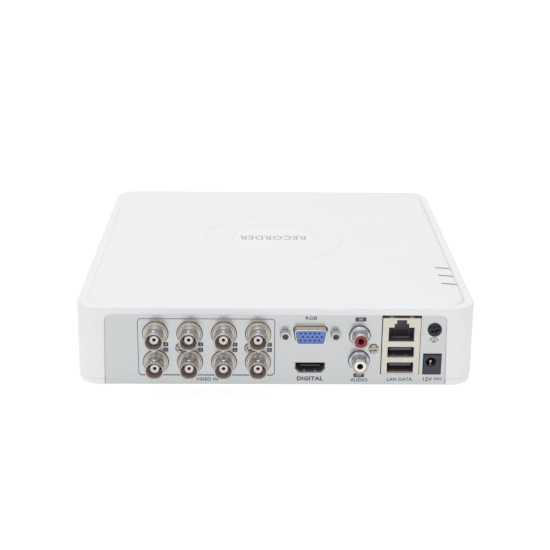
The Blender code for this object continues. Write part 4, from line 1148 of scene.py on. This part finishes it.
def make_board_parts():
    """Chips, capacitors, small parts, coils and screws on the main board. None of them carries a mark."""
    top = BOARD_TOP
    bodies = []
    legs = []
    for chip in (
        (-58, -60, 14, 14, 12), (-38, -61, 14, 14, 12), (-22, -18, 9, 12, 10),
        (-8, -18, 9, 12, 10), (8, -18, 9, 12, 10), (42, -48, 7, 6, 5),
        (-40, -18, 6, 5, 4), (60, -52, 8, 8, 7),
    ):
        body, feet = flat_chip(*chip)
        bodies.append(body)
        legs += feet
    processor = slab(*middle("heatsink").xy, 17, 17, top + 0.2, box("heatsink")[0].z - 0.1, CHIP)
    bodies.append(processor)
    piece("board_chips", merged(bodies), "black_plastic", edge=0.12)
    piece("board_chip_legs", merged(legs), "steel")

    sleeves = []
    caps = []
    for x, y, radius, height in (
        (26, -64, 4, 10), (26, -52, 4, 10), (50, -62, 3.2, 8), (76, -62, 4, 11),
        (76, -50, 3.2, 8), (-76, -62, 3.2, 8), (-76, -50, 3.2, 8), (22, -16, 3.2, 7),
    ):
        sleeve = [
            (0, 0.1), (radius, 0.1), (radius, 0.9), (radius - 0.25, 1.2), (radius, 1.5), (radius, height),
            (radius - 0.5, height + 0.1), (0, height + 0.1),
        ]
        low, high = height + 0.05, height + 0.25
        lid = [(0, low), (radius - 0.6, low), (radius - 0.7, high), (0, high)]
        place = Matrix.Translation((x, y, top))
        sleeves.append(moved(turned(soften(sleeve, 0.2), SLEEVE, 28), place))
        caps.append(moved(turned(lid, STEEL, 28), place))
    piece("board_capacitors", merged(sleeves + caps), "black_plastic")

    parts = []
    taken = []
    scatter = random.Random(7)
    for left, bottom, wide, deep in (
        (-30, -76, 60, 4), (-74, -44, 20, 3), (16, -42, 10, 18), (44, -40, 12, 6),
        (-34, -72, 26, 4), (66, -26, 10, 5), (-50, -14, 22, 4),
    ):
        for _ in range(14):
            x, y = left + scatter.random() * wide, bottom + scatter.random() * deep
            halves = (0.8, 0.4) if scatter.random() < 0.5 else (0.4, 0.8)
            kind = CERAMIC if scatter.random() < 0.6 else CHIP
            if all(abs(x - other_x) > 2 or abs(y - other_y) > 2 for other_x, other_y in taken):
                taken.append((x, y))
                parts.append(slab(x, y, *halves, top + 0.05, top + 0.65, kind))
    piece("board_small_parts", merged(parts), "black_plastic")

    coils = [slab(x, y, 3.5, 3.5, top + 0.1, top + 4, CHIP) for x, y in ((38, -62), (60, -64), (-24, -74))]
    piece("board_coils", merged(coils), "black_plastic", edge=0.6)

    mesh = screw(2.9, 1.6, 1.3, 1.2, STEEL)
    for number, (x, y) in enumerate(BOARD_POSTS, 1):
        piece(f"board_screw_{number}", mesh, "steel", (x, y, top + 0.05), edge=0.08)


DATA_ROUTE = [
    (74.5, 62, 15), (82, 57, 15), (86, 42, 14), (86, 18, 14), (80, 0, 14), (70, -12, 13), (60, -18, 12),
]
POWER_ROUTE = [
    (74.5, 78, 15), (84, 76, 19), (91, 60, 22), (92, 25, 22), (86, -6, 20), (76, -26, 16), (64, -36, 12),
]


def make_leads():
    """The two leads between the disk and the board, with a plug at each end."""
    for name, node, slot, route, radius, made_of in (
        ("data_lead", "disk_data_cable", "cable_red", DATA_ROUTE, 2.1, CABLE_RED),
        ("power_lead", "disk_power_cable", "cable_black", POWER_ROUTE, 2.3, CABLE_BLACK),
    ):
        lead = piece(name, tube(route, radius, made_of), slot, node=node)
        line = [point * MM for point in smooth_route(route)]
    plugs = [
        block((73.7, 55.5, 11.6), (79.5, 68.5, 18.4), BLACK),
        block((73.7, 69.5, 11.6), (79.5, 87.5, 18.4), BLACK),
        block((53.5, -22.5, 9.9), (63, -13.5, 14.6), BLACK),
    ]
    piece("lead_plugs", merged(plugs), "black_plastic", edge=0.5)
    headers = [
        block((52.5, -23.5, BOARD_TOP + 0.05), (64, -12.5, 9.8), NYLON),
        block((56, -41, BOARD_TOP + 0.05), (67, -31, 14.8), NYLON),
    ]
    piece("board_headers", merged(headers), "insulator_white", edge=0.3)


def make_disk_top():
    """The drive's pressed lid, its six screws and a blank label."""
    low, high = box("disk_cover")
    centre = middle("disk_cover")
    plan = rounded(rectangle(low.x, high.x, low.y, high.y), 3, 6)
    lid = prism(plan, low.z, high.z - 0.35, BRUSHED)
    raised = rounded(rectangle(low.x + 6, high.x - 6, low.y + 6, high.y - 6), 8, 8)
    narrowed = [(centre.x + (x - centre.x) * 0.985, centre.y + (y - centre.y) * 0.985) for x, y in raised]
    lid = combined(lid, [loft([level(raised, low.z + 0.2), level(narrowed, high.z)], BRUSHED)], "UNION")
    groove = [(30, 1), (30, 0), (31, -0.3), (33, -0.3), (34, 0), (34, 1)]
    groove = [(radius, high.z + height) for radius, height in groove]
    lid = combined(lid, [hoop(groove, BRUSHED, (centre.x - 21, centre.y))])
    piece("disk_lid", lid, "steel", node="disk_cover", edge=0.12)
    label = rounded(centred(centre.x + 40, centre.y, 22, 34), 1.5, 4)
    piece("disk_label", prism(label, high.z, high.z + 0.12, LABEL), "case_white")
    head = turned(soften([(0, 0), (2.2, 0), (2.2, 0.5), (1.9, 0.9), (0, 0.95)], 0.12), STEEL, 24)
    head = combined(head, [slab(0, 0, *halves, 0.35, 2, STEEL) for halves in ((1.1, 0.22), (0.22, 1.1))])
    places = [(x, y) for x in (low.x + 3.2, centre.x, high.x - 3.2) for y in (low.y + 3.2, high.y - 3.2)]
    for number, (x, y) in enumerate(places, 1):
        piece(f"disk_screw_{number}", head, "steel", (x, y, high.z - 0.35), edge=0.05)


# ---- Materials for the CAD nodes that stay as they are ----

def finish_kept_nodes():
    kept = {
        "bnc_block_left": BLACK, "bnc_block_right": BLACK, "audio_block": BLACK,
        "main_board": BOARD, "heatsink": FINNED, "coin_battery": BRUSHED, "buzzer": BLACK,
        "disk_case": CAST, "disk_platters": MIRROR, "disk_actuator": CAST, "disk_circuit_board": DISK_BOARD,
    }
    for name, material in kept.items():
        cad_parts[name].material_slots[0].material = material


# ---- Floor, light and camera ----

def make_floor():
    material = bpy.data.materials.new("studio_floor")
    graph = Graph(material, "Principled BSDF")
    place = graph.node("ShaderNodeTexCoord").outputs["Object"]
    tone = graph.blend(graph.noise(place, 400), [0.34, 0.34, 0.34, 1], [0.36, 0.36, 0.36, 1])
    graph.link(tone, graph.shader, "Base Color")
    for socket, value in (
        ("Roughness", 0.9), ("Specular IOR Level", 0.1), ("Emission Color", (1, 1, 1, 1)),
        ("Emission Strength", 0.8),
    ):
        graph.shader.inputs[socket].default_value = value
    bm = bmesh.new()
    bmesh.ops.create_grid(bm, x_segments=1, y_segments=1, size=4000)
    add("studio_floor", finished(bm, material))


def make_light():
    """A pale surround, brightest overhead and dimmer low down and to the right, and one soft lamp."""
    world = bpy.data.worlds.new("studio")
    bpy.context.scene.world = world
    graph = Graph(world, "Background")
    split = graph.node("ShaderNodeSeparateXYZ")
    graph.link(graph.node("ShaderNodeTexCoord").outputs["Generated"], split, 0)
    height = graph.ramp(split.outputs["Z"], ((0, 0.57), (0.12, 0.57), (0.3, 0.79), (0.55, 1.04), (1, 1.18)))
    side = graph.between(split.outputs["X"], 0, 1, -1, 1)
    side = graph.ramp(side, ((0, 0.62), (0.25, 0.9), (0.5, 1.03), (0.72, 0.88), (1, 0.3)))
    graph.link(height, graph.shader, "Color")
    graph.link(side, graph.shader, "Strength")

    lamp = bpy.data.lights.new("key", "AREA")
    lamp.energy = 3
    lamp.size = 0.7
    key = add("key", lamp)
    key.location = (-0.3, 0.1, 1.3)
    key.rotation_euler = (-key.location).to_track_quat("-Z", "Y").to_euler()
    bpy.context.scene.view_settings.view_transform = "Standard"


def make_camera():
    """A long lens a little above the recorder, looking at the connector side."""
    yaw, pitch, roll = 0.0226865, 0.3318814, 0.0129307
    ahead = Vector((math.sin(yaw) * math.cos(pitch), math.cos(yaw) * math.cos(pitch), -math.sin(pitch)))
    right = Vector((math.cos(yaw), -math.sin(yaw), 0))
    up = right.cross(ahead)
    right, up = (
        math.cos(roll) * right + math.sin(roll) * up,
        math.cos(roll) * up - math.sin(roll) * right,
    )
    camera = bpy.data.cameras.new("camera")
    camera.lens = 76.37
    camera.shift_x = -0.01437
    camera.shift_y = -0.0683
    camera.clip_start = 0.01
    camera.clip_end = 30
    viewer = add("camera", camera)
    place = Vector((-0.009296, -0.626473, 0.264327))
    axes = Matrix((right, up, -ahead)).transposed().to_4x4()
    viewer.matrix_world = Matrix.Translation(place) @ axes
    bpy.context.scene.camera = viewer


make_camera()
make_light()
make_floor()
make_cover()
make_tray()
make_feet()
make_emblem()
make_light_guide()
make_panel()
make_printing()
make_screws()
make_video_inputs()
make_monitor_socket()
make_digital_socket()
make_audio_pair()
make_network_stack()
make_power_jack()
make_board_parts()
make_leads()
make_disk_top()
finish_kept_nodes()
